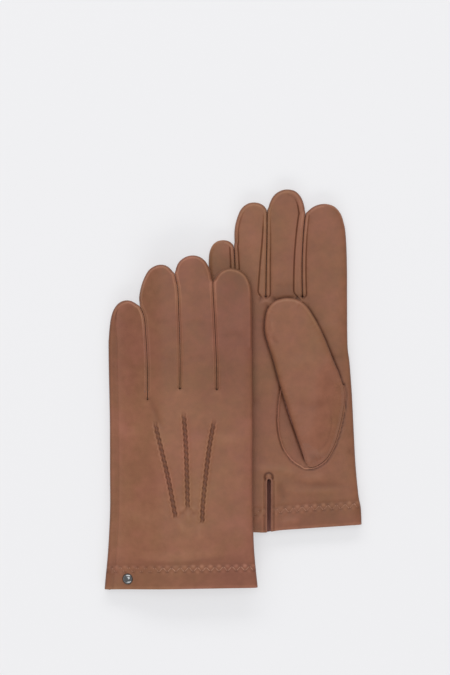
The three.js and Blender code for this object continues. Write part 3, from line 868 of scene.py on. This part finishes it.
def skin_detail(glove, plan, face, at, distance, where):
    """How far each place of one face of the skin stands out, in millimetres, and how light or dark it is."""
    seam, tip, facing = (from_edge(plan, key, where) for key in (face, "tip", "facing"))
    away = distance - seam
    sewn = seam > 0
    weight = seam_weight(seam, face, tip) * above_crotches(at, glove)
    out = np.where(sewn, weight * profile(away, SEAM_RELIEF), 0)
    # painted shade in the seam's pressed line, painted highlight on the round skin beyond it
    tone = np.where(sewn, weight * profile(away, SEAM_PAINTED_SHADING), 0)
    bead = bump(distance - np.minimum(seam, 1.6) - 0.4, 0.5)
    bead *= np.where(sewn, 1, smoothstep((tip - 0.5) / 0.2))
    out += 0.15 * bead
    # painted highlight on the bead inside the edge, strongest round the fingertips
    tone += (0.1 + 0.05 * facing + 0.42 * smoothstep((tip - 0.55) / 0.3)) * bead
    # painted light in the narrow gap between two fingers, lifting its shade
    tone += 0.2 * facing * bump(distance, 0.5)
    inner = smoothstep((distance - 0.6) / 3)
    seed = 3.7 if face == "back" else 11.3
    broad = ripple(at, 46, seed, (1, 0.7))
    middle = ripple(at, 15, seed + 5)
    pressed = PRESSED_RELIEF if face == "palm" and not glove["palm_up"] else 1.0
    out += inner * pressed * (0.42 * broad + 0.16 * middle + 0.05 * ripple(at, 5.5, seed + 9))
    # painted highlight where the ripples rise and shade where they sink, painted shade along the rounded
    # outline, and the part-to-part tone
    tone += 0.06 * broad + 0.05 * middle - 0.08 * bump(distance, 1.0) + painted_light_and_broad_tone(at, glove)
    details = [hem_detail(at, plan), crease_detail(at, CREASES[glove["name"] + "_" + face]),
               crotch_detail(at, glove, face)]
    if face == "back":
        details.append(point_detail(at))
    for lift, shade in details:
        out += inner * lift
        tone += shade
    if face == "palm":
        for lift, shade in (oval_detail(at, glove), vent_detail(at)):
            out += lift
            tone += shade
    return out, tone


def build_skin(glove, plan, fine):
    """Both faces of a glove's skin: in full detail, or plain and coarse for the lining."""
    if fine:
        at, faces = triangulate(glove, plan, GRID, ROWS, SEAM_ROWS, fine)
    else:
        at, faces = triangulate(glove, plan, LINING_MESH["grid"], LINING_MESH["rows"], [0.0], fine)
    distance, where = nearest_on(at, plan["edge"])
    half = GLOVE_THICK / 2
    edge_round = EDGE_ROUND + (FACING_ROUND[glove["name"]] - EDGE_ROUND) * from_edge(plan, "facing", where)
    swell = half * rounded(distance, edge_round)
    swell = smoothed(swell, faces, distance > 1.6, 8 if fine else 2)

    count = len(at)
    on_edge = distance < 1e-4
    positions = np.vstack([place(glove, at, half - swell), place(glove, at, half + swell)])
    up = faces[:, ::-1] if glove["palm_up"] else faces
    sides = {"back": up, "palm": other_face(up, on_edge)}
    whole = np.vstack([sides["back"], sides["palm"]])
    normals = vertex_normals(positions, whole)
    tones = np.full(2 * count, 0.5)
    if fine:
        for face, first in (("back", 0), ("palm", count)):
            out, tone = skin_detail(glove, plan, face, at, distance, where)
            out = np.where(on_edge, 0, out)
            positions[first:first + count] += normals[first:first + count] * out[:, None]
            tones[first:first + count] += tone
        normals = vertex_normals(positions, whole)
    return {"at": at, "faces": faces, "sides": sides, "positions": positions, "normals": normals,
            "distance": distance, "seam": {face: from_edge(plan, face, where) for face in sides},
            "tree": tree_of(at), "tone": np.clip(tones, 0, 1)}


def finger_labels(glove, plan, skin):
    """For each triangle: which finger it is on, or -1 for the hand, and on which side of the fingertip."""
    centre = skin["at"][skin["faces"]].mean(1)
    _, where = nearest_on(centre, plan["edge"])
    edge = plan["edge"]
    tips = [max(glove["fingers"][name], key=lambda p: p[1]) for name in FINGERS]
    tip_index = [int(np.argmin(np.linalg.norm(edge - np.array(tip), axis=1))) for tip in tips]
    crotch_index = []
    for i in range(3):
        between = np.arange(tip_index[i], tip_index[i + 1])
        crotch_index.append(between[np.argmin(edge[between, 1])])
    finger = np.searchsorted(crotch_index, where)
    finger = np.where(centre[:, 1] > glove["finger_line"], finger, -1)
    thumb_side = where > np.array(tip_index)[np.clip(finger, 0, 3)]
    return finger, thumb_side, centre


def panels_of(glove, plan, skin):
    """Splits both faces of the skin into the panels that the glove is sewn from."""
    finger, thumb_side, centre = finger_labels(glove, plan, skin)
    distance = skin["distance"][skin["faces"]].mean(1)
    panels = {}
    hole = inside(centre, hole_loop(glove)) | inside(centre, vent_loop(VENT["half"]))
    for face in ("back", "palm"):
        strip = distance < skin["seam"][face][skin["faces"]].mean(1)
        for i in range(-1, 4):
            here = finger == i
            name = "hand" if i < 0 else FINGERS[i]
            folded = np.full(len(here), i < 0)
            if i == 0:
                folded = ~thumb_side
            if i == 3:
                folded = thumb_side
            for mask, panel in (
                (here & ~strip, face),
                (here & strip & folded, "palm"),
                (here & strip & ~folded & ~thumb_side, "fourchette_ulnar"),
                (here & strip & ~folded & thumb_side, "fourchette_radial"),
            ):
                if face == "palm":
                    mask = mask & ~hole
                if mask.any():
                    panels.setdefault(f"{name}_{panel}", []).append(skin["sides"][face][mask])
    return {name: np.vstack(parts) for name, parts in panels.items()}


def attach(piece, glove, part):
    """A hand piece rides on the hand; a finger piece only has its transform baked into its mesh."""
    hand = glove["name"] + "_hand"
    if part == "hand":
        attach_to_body(piece, hand)
        return
    base = glove_origin(glove)[1] + glove["finger_line"] + BLEND_START
    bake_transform(piece)


def surface_at(skin, face, at):
    """Where the skin is over the given plan points, and which way it faces, in millimetres."""
    first = 0 if face == "back" else len(skin["at"])
    places, normals = [], []
    for x, y in at:
        found = skin["tree"].find_n((x, y, 0), 3)
        weight = np.array([1 / (f[2] + 1e-3) for f in found])
        index = [f[1] + first for f in found]
        weight /= weight.sum()
        places.append((skin["positions"][index] * weight[:, None]).sum(0))
        normals.append((skin["normals"][index] * weight[:, None]).sum(0))
    return np.array(places), np.array(normals)


# ---------------------------------------------------------------- thumbs
def fill_loop(loop, rows, grid, hole):
    """Fills a closed plan outline, walked clockwise, with triangles that follow its edge and the hole's."""
    net = Net(loop)
    edge = np.vstack([loop, loop[0]])
    across = rightward(np.vstack([loop[-1], edge]))[1:-1]
    for distance in rows:
        row, good = net.inset(loop, across, np.full(len(loop), distance), edge)
        net.add(row[good])
    net.add(net.field(grid, edge, rows[-1] + grid * 0.6))
    net.add_line(hole, closed=True)
    return net.triangles()


def thumb_detail(at, shift, from_free, from_sewn):
    """How far each place of the thumb's outer face stands out, and how light or dark it is: painted shade
    along its seam and free edge, and painted highlights on its bead and raised folds.
    """
    clear = smoothstep((from_free - 0.6) / 3) * smoothstep(from_sewn / 5)
    waves = 0.3 * ripple(at, 38, 21.5) + 0.13 * ripple(at, 13, 27.1) + 0.04 * ripple(at, 5, 31.3)
    lift, tone = crease_detail(at - shift, CREASES_THUMB)
    seam = smoothstep(from_sewn / 6)
    away = from_free - THUMB_SEAM
    out = clear * (waves + lift) + 0.4 * seam * profile(away, SEAM_RELIEF)
    at_tip = smoothstep((at[:, 1] - shift[1] - 138) / 26)
    # painted highlight on the bead inside the free edge, strongest at the tip
    painted_light_and_tone = (0.16 + 0.5 * at_tip) * bump(from_free - 1.4, 0.55)
    tone += seam * (0.25 * profile(away, SEAM_PAINTED_SHADING) + painted_light_and_tone)
    # painted shade along the free edge, where it lies over the palm
    return out, tone - 0.25 * bump(from_free, 0.7) * smoothstep(from_sewn / 8)


def build_thumb(glove, fine):
    """The thumb as a flat pillow, full at its free edge and coming down to the palm along its sewn edge."""
    if fine:
        step, rows, grid = OUTLINE_STEP, ROWS, GRID
    else:
        step, rows, grid = (THUMB_LINING_MESH[key] for key in ("step", "rows", "grid"))
    shift = np.array(THUMB_SHIFT[glove["name"]])
    free = curve(THUMB_FREE, step) + shift
    sewn = curve(THUMB_SEWN, step) + shift
    at, faces = fill_loop(np.vstack([free, sewn[1:-1]]), rows, grid, hole_loop(glove))
    from_free, _ = nearest_on(at, free)
    from_sewn, _ = nearest_on(at, sewn)
    on_edge = np.minimum(from_free, from_sewn) < 1e-4

    low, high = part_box(glove["name"] + "_thumb")
    above, below = (0, 0) if glove["palm_up"] else (SLACK_ABOVE, SLACK_BELOW)
    half = ((high.z - low.z) / MM - above - below) / 2
    swell = smoothed(rounded(from_free, THUMB_ROUND), faces, ~on_edge & (from_free > 1.6), 6)
    rise = half * smoothed(smoothstep(from_sewn / THUMB_RAMP) ** 0.7, faces, ~on_edge, 3)
    heights = [rise * (1 + swell), rise * (1 - swell)]
    if glove["palm_up"]:
        levels = [low.z / MM - 0.35 + height for height in heights]
    else:
        levels = [high.z / MM - above - height for height in heights]
    xy = at + glove_origin(glove)
    positions = np.vstack([np.column_stack([xy, z]) for z in levels])
    outward = faces if glove["palm_up"] else faces[:, ::-1]
    toward_palm = other_face(outward, on_edge)
    whole = np.vstack([outward, toward_palm])
    normals = vertex_normals(positions, whole)

    count = len(at)
    tones = np.full(2 * count, 0.5)
    keep = ~inside(at[faces].mean(1), hole_loop(glove))
    if fine:
        out, tone = thumb_detail(at, shift, from_free, from_sewn)
        positions[:count] += normals[:count] * np.where(on_edge, 0, out)[:, None]
        tones[:count] += tone
        normals = vertex_normals(positions, whole)
    else:
        thick = np.abs(levels[0] - levels[1])[faces].min(1) > LINED_FROM
        outward = outward[thick]
        keep = keep & thick
    whole = np.vstack([outward, toward_palm[keep]])
    return {"positions": positions, "normals": normals, "whole": whole, "tone": np.clip(tones, 0, 1)}


def attach_thumb(piece, glove):
    """The left thumb rides on its thumb's body. The right one has its transform baked into its mesh, and the
    reach of its bend along the hinge is worked out from the joint but not used.
    """
    hand, thumb = glove["name"] + "_hand", glove["name"] + "_thumb"
    if not glove["palm_up"]:
        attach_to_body(piece, thumb)
        return
    joint = next(joint for joint in frame["joints"] if joint["child"] == thumb)
    across = Vector((0, 0, 1)).cross(Vector(joint["axis"]).normalized())
    start, end = (Vector(joint["pos_m"]) + across * reach * MM for reach in THUMB_BEND)
    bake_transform(piece)
    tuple(start)
    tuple(end)


def tube_faces(rings, sides, closed=False):
    """The faces between rings of points, and from the last ring back to the first if closed."""
    faces = []
    for i in range(rings if closed else rings - 1):
        this, following = i * sides, (i + 1) % rings * sides
        for j in range(sides):
            k = (j + 1) % sides
            faces.append((this + j, this + k, following + k, following + j))
    return faces


def thumb_gusset(glove):
    """A tube of leather from the palm's opening to the thumb's, flat at rest."""
    loop = hole_loop(glove) + glove_origin(glove)
    middle = loop.mean(0)
    outward = unit(loop - middle)
    low, high = GLOVE_THICK - GUSSET["reach"], GLOVE_THICK + GUSSET["reach"]
    levels = np.linspace(low, high, GUSSET["rows"])
    rings = [(GUSSET["half"], z) for z in levels] + [(-GUSSET["half"], z) for z in levels[::-1]]
    count = len(loop)
    positions = np.vstack([np.column_stack([loop + outward * u, np.full(count, z)]) for u, z in rings])
    faces = tube_faces(len(rings), count, closed=True)
    piece = make_object(glove["name"] + "_thumb_gusset", positions, faces, LEATHER_PALM)
    start, end = ((*middle * MM, z * MM) for z in (low, high))
    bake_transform(piece)
    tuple(start)
    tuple(end)


# ---------------------------------------------------------------- small pieces
def sweep(name, path, normals, section, material, tone=0.5):
    """A strip of constant section along a path on a surface; the section is (across, out) in millimetres."""
    across = unit(np.cross(unit(np.gradient(path, axis=0)), normals))
    rings = [path + across * u + normals * v for u, v in section]
    sides, length = len(section), len(path)
    positions = np.stack(rings, 1).reshape(-1, 3)
    faces = tube_faces(length, sides)
    faces.append(tuple(range(sides))[::-1])
    faces.append(tuple((length - 1) * sides + j for j in range(sides)))
    return make_object(name, positions, faces, material, tone=np.broadcast_to(tone, len(positions)))


def half_round(width, height, sides=10, sunk=0.25):
    turn = np.linspace(0, math.pi, sides)
    top = [(-width / 2 * math.cos(t), height * math.sin(t)) for t in turn]
    return [(u, v - sunk) for u, v in top] + [(width / 2, -sunk - 0.3), (-width / 2, -sunk - 0.3)]


def capsule(rings=7, sides=8):
    """A unit stitch along x: its length and its thickness are both 1."""
    positions, faces = [], []
    for i in range(rings + 1):
        t = math.pi * i / rings
        x = -0.5 * math.copysign(abs(math.cos(t)) ** 0.6, math.cos(t))
        r = 0.5 * math.sin(t) ** 0.8 if 0 < i < rings else 0
        if r == 0:
            positions.append((x, 0, 0))
            continue
        for j in range(sides):
            u = 2 * math.pi * j / sides
            positions.append((x, r * math.cos(u), r * math.sin(u)))
    last = len(positions) - 1
    for j in range(sides):
        k = (j + 1) % sides
        faces.append((0, 1 + k, 1 + j))
        for i in range(rings - 2):
            a, b = 1 + i * sides + j, 1 + i * sides + k
            faces.append((a, b, b + sides))
            faces.append((a, b + sides, a + sides))
        a = 1 + (rings - 2) * sides
        faces.append((a + j, a + k, last))
    return np.array(positions), np.array(faces)


def stitches(name, skin, face, centres, angles, length, thick, sink, material):
    """One piece of thread per centre, lying on the skin at an angle from the plan's x."""
    stitch, stitch_faces = capsule()
    places, normals = surface_at(skin, face, centres)
    positions, faces = [], []
    sinks = np.broadcast_to(sink, len(centres))
    for centre, normal, angle, sunk in zip(places, normals, angles, sinks):
        along = np.array([math.cos(angle), math.sin(angle), 0])
        along = unit(along - normal * along.dot(normal))
        side = np.cross(normal, along)
        turned = stitch @ np.stack([along * length, side * thick, normal * thick])
        faces.append(stitch_faces + len(positions) * len(stitch))
        positions.append(turned + centre - normal * sunk)
    return make_object(name, np.vstack(positions), np.vstack(faces), material)


def joined(name, pieces):
    """Joins new objects of one material into one piece."""
    with bpy.context.temp_override(active_object=pieces[0], selected_editable_objects=pieces):
        bpy.ops.object.join()
    pieces[0].name = name
    return pieces[0]


def point_stitches(glove, skin, point):
    """One slanting stitch in each groove of the whipped tuck."""
    line = curve(POINT_LINES[point], 0.8)
    spacing = np.linalg.norm(line[1] - line[0])
    along = np.arange(1.5, spacing * (len(line) - 1) / ROPE["pitch"] - 1) * ROPE["pitch"]
    index = np.round(along / spacing).astype(int)
    lean = directions(line) * ROPE["slant"] * ROPE["pitch"] - rightward(line) * ROPE["half"]
    angle = np.arctan2(lean[index, 1], lean[index, 0])
    name = f"{glove['name']}_point_{point}_stitches"
    return stitches(name, skin, "back", line[index], angle, 3.5, 0.62, 0.02, THREAD_DARK)


def hem_stitches(glove, plan, skin):
    """A zigzag of thread round the hem, on the back and on the palm."""
    pieces = []
    half_period = HEM_PERIOD / 2
    first, last = plan["edge"][0][0] + 3, plan["edge"][-1][0] - 3
    corner = np.arange(math.ceil(first / half_period), math.floor(last / half_period))
    length = 0.86 * math.hypot(half_period, 2 * HEM_REACH)
    for face, shown in (("back", 0.2), ("palm", 0.08)):
        x = (corner + 0.5) * half_period
        side = np.where(corner % 2, 1, -1)
        if face == "palm":
            clear = np.abs(x - VENT["x"]) > VENT["half"] + VENT["binding"] + 3
            x, side = x[clear], side[clear]
        centres = np.stack([x, cuff_height(x, plan) + HEM_HEIGHT], 1)
        angle = side * math.atan2(2 * HEM_REACH, half_period)
        name = f"{glove['name']}_hem_{face}"
        sink = 0.3 - shown * hem_shown(x)
        pieces.append(stitches(name, skin, face, centres, angle, length, 0.5, sink, THREAD_HEM))
    return joined(glove["name"] + "_hem_zigzag", pieces)


def vent_binding(glove, plan, skin):
    """The leather piping round the wrist slit."""
    path = resample(vent_loop(VENT["half"] + VENT["binding"] / 2 - 0.2), 0.7)
    path = path[path[:, 1] > cuff_height(path[:, 0], plan) + 0.2]
    places, normals = map(smoothed_rows, surface_at(skin, "palm", path))
    return sweep(glove["name"] + "_vent_piping", places, normals, half_round(VENT["binding"], 0.75), PIPING)


def smoothed_rows(rows, times=4):
    for _ in range(times):
        rows = np.vstack([rows[:1], (rows[:-2] + 2 * rows[1:-1] + rows[2:]) / 4, rows[-1:]])
    return rows


def oval_seam(glove, skin):
    """The bead along which the thumb's leather is sewn into the palm. Its lower arc is painted lighter, as a
    highlight.
    """
    path = curve(OVAL_SEAM, 0.7) + THUMB_SHIFT[glove["name"]]
    path = path - rightward(path) * 0.3
    places, normals = map(smoothed_rows, surface_at(skin, "palm", path))
    section = half_round(1.0, 0.38 if glove["palm_up"] else 0.2, sunk=0.1)
    lowest = path[np.argmin(path[:, 1])]
    # painted highlight on the bead's lower arc
    lighter = 0.5 * bump(path[:, 0] - lowest[0] + 5, 8) * (path[:, 1] < lowest[1] + 18)
    tone = np.repeat(0.5 + lighter, len(section))
    return sweep(glove["name"] + "_thumb_seam", places, normals, section, LEATHER_BACK, tone)


def lathe(name, section, centre, normal, material, sides=56):
    """A turned solid on a surface; the section is (radius, height) in millimetres."""
    side = unit(np.cross(normal, [0, 1, 0]))
    other = np.cross(normal, side)
    positions, faces, rings = [], [], []
    for r, z in section:
        if r == 0:
            rings.append([len(positions)])
            positions.append(centre + normal * z)
            continue
        rings.append(list(range(len(positions), len(positions) + sides)))
        for j in range(sides):
            t = 2 * math.pi * j / sides
            positions.append(centre + normal * z + side * r * math.cos(t) + other * r * math.sin(t))
    for low, high in zip(rings[:-1], rings[1:]):
        for j in range(sides):
            k = (j + 1) % sides
            if len(low) == 1:
                faces.append((low[0], high[j], high[k]))
            elif len(high) == 1:
                faces.append((low[j], high[0], low[k]))
            else:
                faces.append((low[j], high[j], high[k], low[k]))
    return make_object(name, np.array(positions), faces, material)


# ---------------------------------------------------------------- materials
class Look:
    """A material, and short ways to add shader nodes to it."""

    def __init__(self, name):
        self.material = bpy.data.materials.new(name)
        self.material.use_nodes = True
        self.tree = self.material.node_tree
        self.shader = self.tree.nodes["Principled BSDF"]

    def connect(self, node, inputs):
        """Sets each input to a value, or joins it to another node's output."""
        for name, value in inputs.items():
            if isinstance(value, bpy.types.NodeSocket):
                self.tree.links.new(value, node.inputs[name])
            else:
                node.inputs[name].default_value = value

    def add(self, kind, output, inputs, **settings):
        """Adds a node, and returns one of its outputs."""
        node = self.tree.nodes.new("ShaderNode" + kind)
        for name, value in settings.items():
            setattr(node, name, value)
        self.connect(node, inputs)
        return node.outputs[output]

    def coords(self):
        return self.add("TexCoord", "Object", {})

    def noise(self, coords, scale, detail, rough=0.55):
        values = {"Vector": coords, "Scale": scale, "Detail": detail, "Roughness": rough}
        return self.add("TexNoise", "Fac", values)

    def multiply(self, a, b, factor):
        values = {"Factor": factor, "A": a, "B": b}
        return self.add("Mix", "Result", values, data_type="RGBA", blend_type="MULTIPLY")

    def ramp(self, value, stops):
        node = self.tree.nodes.new("ShaderNodeValToRGB")
        elements = node.color_ramp.elements
        while len(elements) < len(stops):
            elements.new(0.5)
        for element, (at, colour) in zip(elements, stops):
            element.position = at
            element.color = (*colour, 1)
        self.tree.links.new(value, node.inputs["Fac"])
        return node.outputs["Color"]


def leather(name, dark, middle, light, roughness=0.46):
    """Aniline nappa: cloudy dye, painted shade and highlights from the tone attribute along seams, folds and
    edges, a fine pebbled grain and a satin face.
    """
    look = Look(name)
    coords = look.coords()
    flecks = look.noise(coords, 170, 3)
    dye = look.ramp(look.noise(coords, 24, 4, 0.6), [(0.36, dark), (0.5, middle), (0.64, light)])
    shade = look.ramp(flecks, [(0.3, (0.86, 0.85, 0.84)), (0.7, (1.1, 1.11, 1.12))])
    tone = look.add("Attribute", "Fac", {}, attribute_name="tone")
    # the tone attribute, mostly painted shade and painted highlights, darkens or lightens the dye
    painted_light_and_tone = look.ramp(tone, [(0.0, (0.36, 0.25, 0.19)), (0.5, (1, 1, 1)), (1.0, (1.3, 1.46, 1.56))])
    gloss = {"Value": flecks, "To Min": roughness - 0.06, "To Max": roughness + 0.1}
    cells = look.add("TexVoronoi", "Distance", {"Vector": coords, "Scale": 1150})
    grain = look.add("Bump", "Normal", {"Height": cells, "Distance": 0.00006, "Strength": 0.55})
    pebbles = {"Height": look.noise(coords, 700, 3), "Normal": grain, "Distance": 0.00012, "Strength": 0.56}
    look.connect(look.shader, {
        "Base Color": look.multiply(look.multiply(dye, shade, 0.6), painted_light_and_tone, 1.0),
        "Roughness": look.add("MapRange", "Result", gloss),
        "Specular IOR Level": 0.28,
        "Sheen Weight": 0.03,
        "Sheen Roughness": 0.5,
        "Normal": look.add("Bump", "Normal", pebbles),
    })
    return look.material


def knit(name, colour):
    """The lining: a fine rib knit."""
    look = Look(name)
    rib = look.add("TexWave", "Fac", {"Vector": look.coords(), "Scale": 260, "Distortion": 0.8})
    look.connect(look.shader, {
        "Base Color": look.ramp(rib, [(0.2, tuple(0.6 * c for c in colour)), (0.8, colour)]),
        "Roughness": 0.95,
        "Sheen Weight": 0.3,
        "Normal": look.add("Bump", "Normal", {"Height": rib, "Distance": 0.0002}),
    })
    return look.material


def thread(name, dark, light):
    """Twisted sewing thread."""
    look = Look(name)
    twist = look.add("TexWave", "Fac", {"Vector": look.coords(), "Scale": 700}, bands_direction="DIAGONAL")
    look.connect(look.shader, {"Base Color": look.ramp(twist, [(0.1, dark), (0.9, light)]), "Roughness": 0.6})
    return look.material


def polished_metal(name):
    look = Look(name)
    smears = look.noise(look.coords(), 900, 3)
    tint = look.ramp(smears, [(0.3, (0.17, 0.175, 0.18)), (0.7, (0.23, 0.235, 0.24))])
    look.connect(look.shader, {"Base Color": tint, "Metallic": 1.0, "Roughness": 0.2})
    return look.material


LEATHER_BACK = leather("nappa_back", (0.24, 0.104, 0.051), (0.256, 0.103, 0.055), (0.276, 0.105, 0.063))
LEATHER_PALM = leather("nappa_palm", (0.212, 0.092, 0.043), (0.226, 0.091, 0.046), (0.243, 0.093, 0.052))
PIPING = leather("nappa_piping", (0.21, 0.09, 0.055), (0.24, 0.1, 0.06), (0.27, 0.115, 0.07), 0.42)
LINING = knit("lining_knit", (0.25, 0.095, 0.075))
THREAD_DARK = thread("thread_points", (0.09, 0.033, 0.018), (0.2, 0.078, 0.046))
THREAD_HEM = thread("thread_hem", (0.26, 0.12, 0.07), (0.48, 0.26, 0.17))
METAL = polished_metal("stud_metal")


# ---------------------------------------------------------------- putting a glove together
def hand_pieces(glove, plan, skin):
    """The stitches and piping that ride on the hand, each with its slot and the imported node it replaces."""
    name = glove["name"]
    for point in POINT_LINES:
        yield point_stitches(glove, skin, point), "thread", f"{name}_point_{point}"
    yield hem_stitches(glove, plan, skin), "thread", name + "_hem_stitching"
    yield vent_binding(glove, plan, skin), "leather", name + "_vent_binding"


def add_stud(skin):
    """The cap and the washer of the stud at the left glove's cuff."""
    places, normals = surface_at(skin, "back", np.array([STUD]))
    for label, section in STUD_PARTS.items():
        piece = lathe(f"left_stud_{label}_metal", section, places[0], normals[0], METAL)
        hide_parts("left_stud_" + label)
        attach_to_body(piece, "left_hand")


def build_glove(glove):
    name = glove["name"]
    plan = build_plan(glove)
    skin = build_skin(glove, plan, fine=True)
    facing_up = LEATHER_PALM if glove["palm_up"] else LEATHER_BACK
    skin_material = {"back": LEATHER_BACK, "palm": LEATHER_PALM}
    for panel, faces in panels_of(glove, plan, skin).items():
        part, side = panel.split("_", 1)
        piece = shell(f"{name}_{panel}_skin", skin["positions"], skin["normals"], faces, 0, LEATHER,
                      skin_material.get(side, facing_up), skin["tone"])
        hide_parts(f"{name}_{panel}")
        attach(piece, glove, part)

    inner = build_skin(glove, plan, fine=False)
    parts = {}
    for panel, faces in panels_of(glove, plan, inner).items():
        parts.setdefault(panel.split("_")[0], []).append(faces)
    for part, faces in parts.items():
        piece = shell(f"{name}_{part}_knit", inner["positions"], inner["normals"], np.vstack(faces),
                      LINING_FROM, LINING_TO, LINING)
        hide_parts(f"{name}_{part}_lining")
        attach(piece, glove, part)

    thumb = build_thumb(glove, fine=True)
    piece = shell(name + "_thumb_skin", thumb["positions"], thumb["normals"], thumb["whole"], 0, LEATHER,
                  LEATHER_PALM, thumb["tone"])
    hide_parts(name + "_thumb")
    attach_thumb(piece, glove)
    coarse = build_thumb(glove, fine=False)
    piece = shell(name + "_thumb_knit", coarse["positions"], coarse["normals"], coarse["whole"],
                  LINING_FROM, LINING_TO, LINING)
    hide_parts(name + "_thumb_lining")
    attach_thumb(piece, glove)
    if glove["palm_up"]:
        thumb_gusset(glove)

    for piece, slot, node in hand_pieces(glove, plan, skin):
        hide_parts(node)
        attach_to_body(piece, name + "_hand")
    piece = oval_seam(glove, skin)
    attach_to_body(piece, name + "_hand")
    if name == "left":
        add_stud(skin)


for glove in (RIGHT, LEFT):
    build_glove(glove)


# ---------------------------------------------------------------- stage, light and camera
def softbox(name, location, target, size, power):
    light = bpy.data.lights.new(name, "AREA")
    light.shape = "RECTANGLE"
    light.size, light.size_y = size
    light.energy = power
    lamp = add_object(name, light)
    lamp.location = location
    lamp.rotation_euler = (Vector(target) - Vector(location)).to_track_quat("-Z", "Y").to_euler()


FLOOR = 3.0  # half the side of the square floor, in metres
FLOOR_DROP = 0.0002  # how far under the gloves it lies
floor_mesh = bpy.data.meshes.new("floor")
floor_corners = [(-FLOOR, -FLOOR, 0), (FLOOR, -FLOOR, 0), (FLOOR, FLOOR, 0), (-FLOOR, FLOOR, 0)]
floor_mesh.from_pydata(floor_corners, [], [(0, 1, 2, 3)])
floor_look = Look("floor_paper")
floor_look.connect(floor_look.shader, {
    "Base Color": (0.35, 0.35, 0.355, 1),
    "Roughness": 0.9,
    "Specular IOR Level": 0.0,
    "Emission Color": (1, 1, 1.02, 1),
    "Emission Strength": 0.49,
})
floor_mesh.materials.append(floor_look.material)
floor = add_object("floor", floor_mesh)
floor.location.z = -FLOOR_DROP

world = bpy.data.worlds.new("studio")
world.use_nodes = True
background = world.node_tree.nodes["Background"]
background.inputs["Color"].default_value = (0.99, 0.99, 1.0, 1)
background.inputs["Strength"].default_value = 0.46
bpy.context.scene.world = world

softbox("key", (-0.3, 0.8, 4.4), (0, 0, 0), (3.0, 2.4), 58)
softbox("north", (-0.2, 3.0, 1.9), (0, 0, 0), (4.2, 1.0), 58)
softbox("south", (0.2, -3.0, 1.9), (0, 0, 0), (4.2, 1.0), 48)

bpy.context.scene.view_settings.view_transform = "Standard"

VIEW_WIDTH = 0.3348  # what the picture is wide, at the height of the gloves, in metres
VIEW_SHAPE = 1.5  # the picture's height for its width
VIEW_CENTRE = (-0.0056, 0.0386, 0.012)
CAMERA_HEIGHT = 2.4  # over the view's centre
SENSOR = 36
camera_data = bpy.data.cameras.new("camera")
camera_data.sensor_width = SENSOR
camera_data.lens = SENSOR * CAMERA_HEIGHT / (VIEW_WIDTH * VIEW_SHAPE)
camera = add_object("camera", camera_data)
camera.location = Vector(VIEW_CENTRE) + Vector((0, 0, CAMERA_HEIGHT))
bpy.context.scene.camera = camera
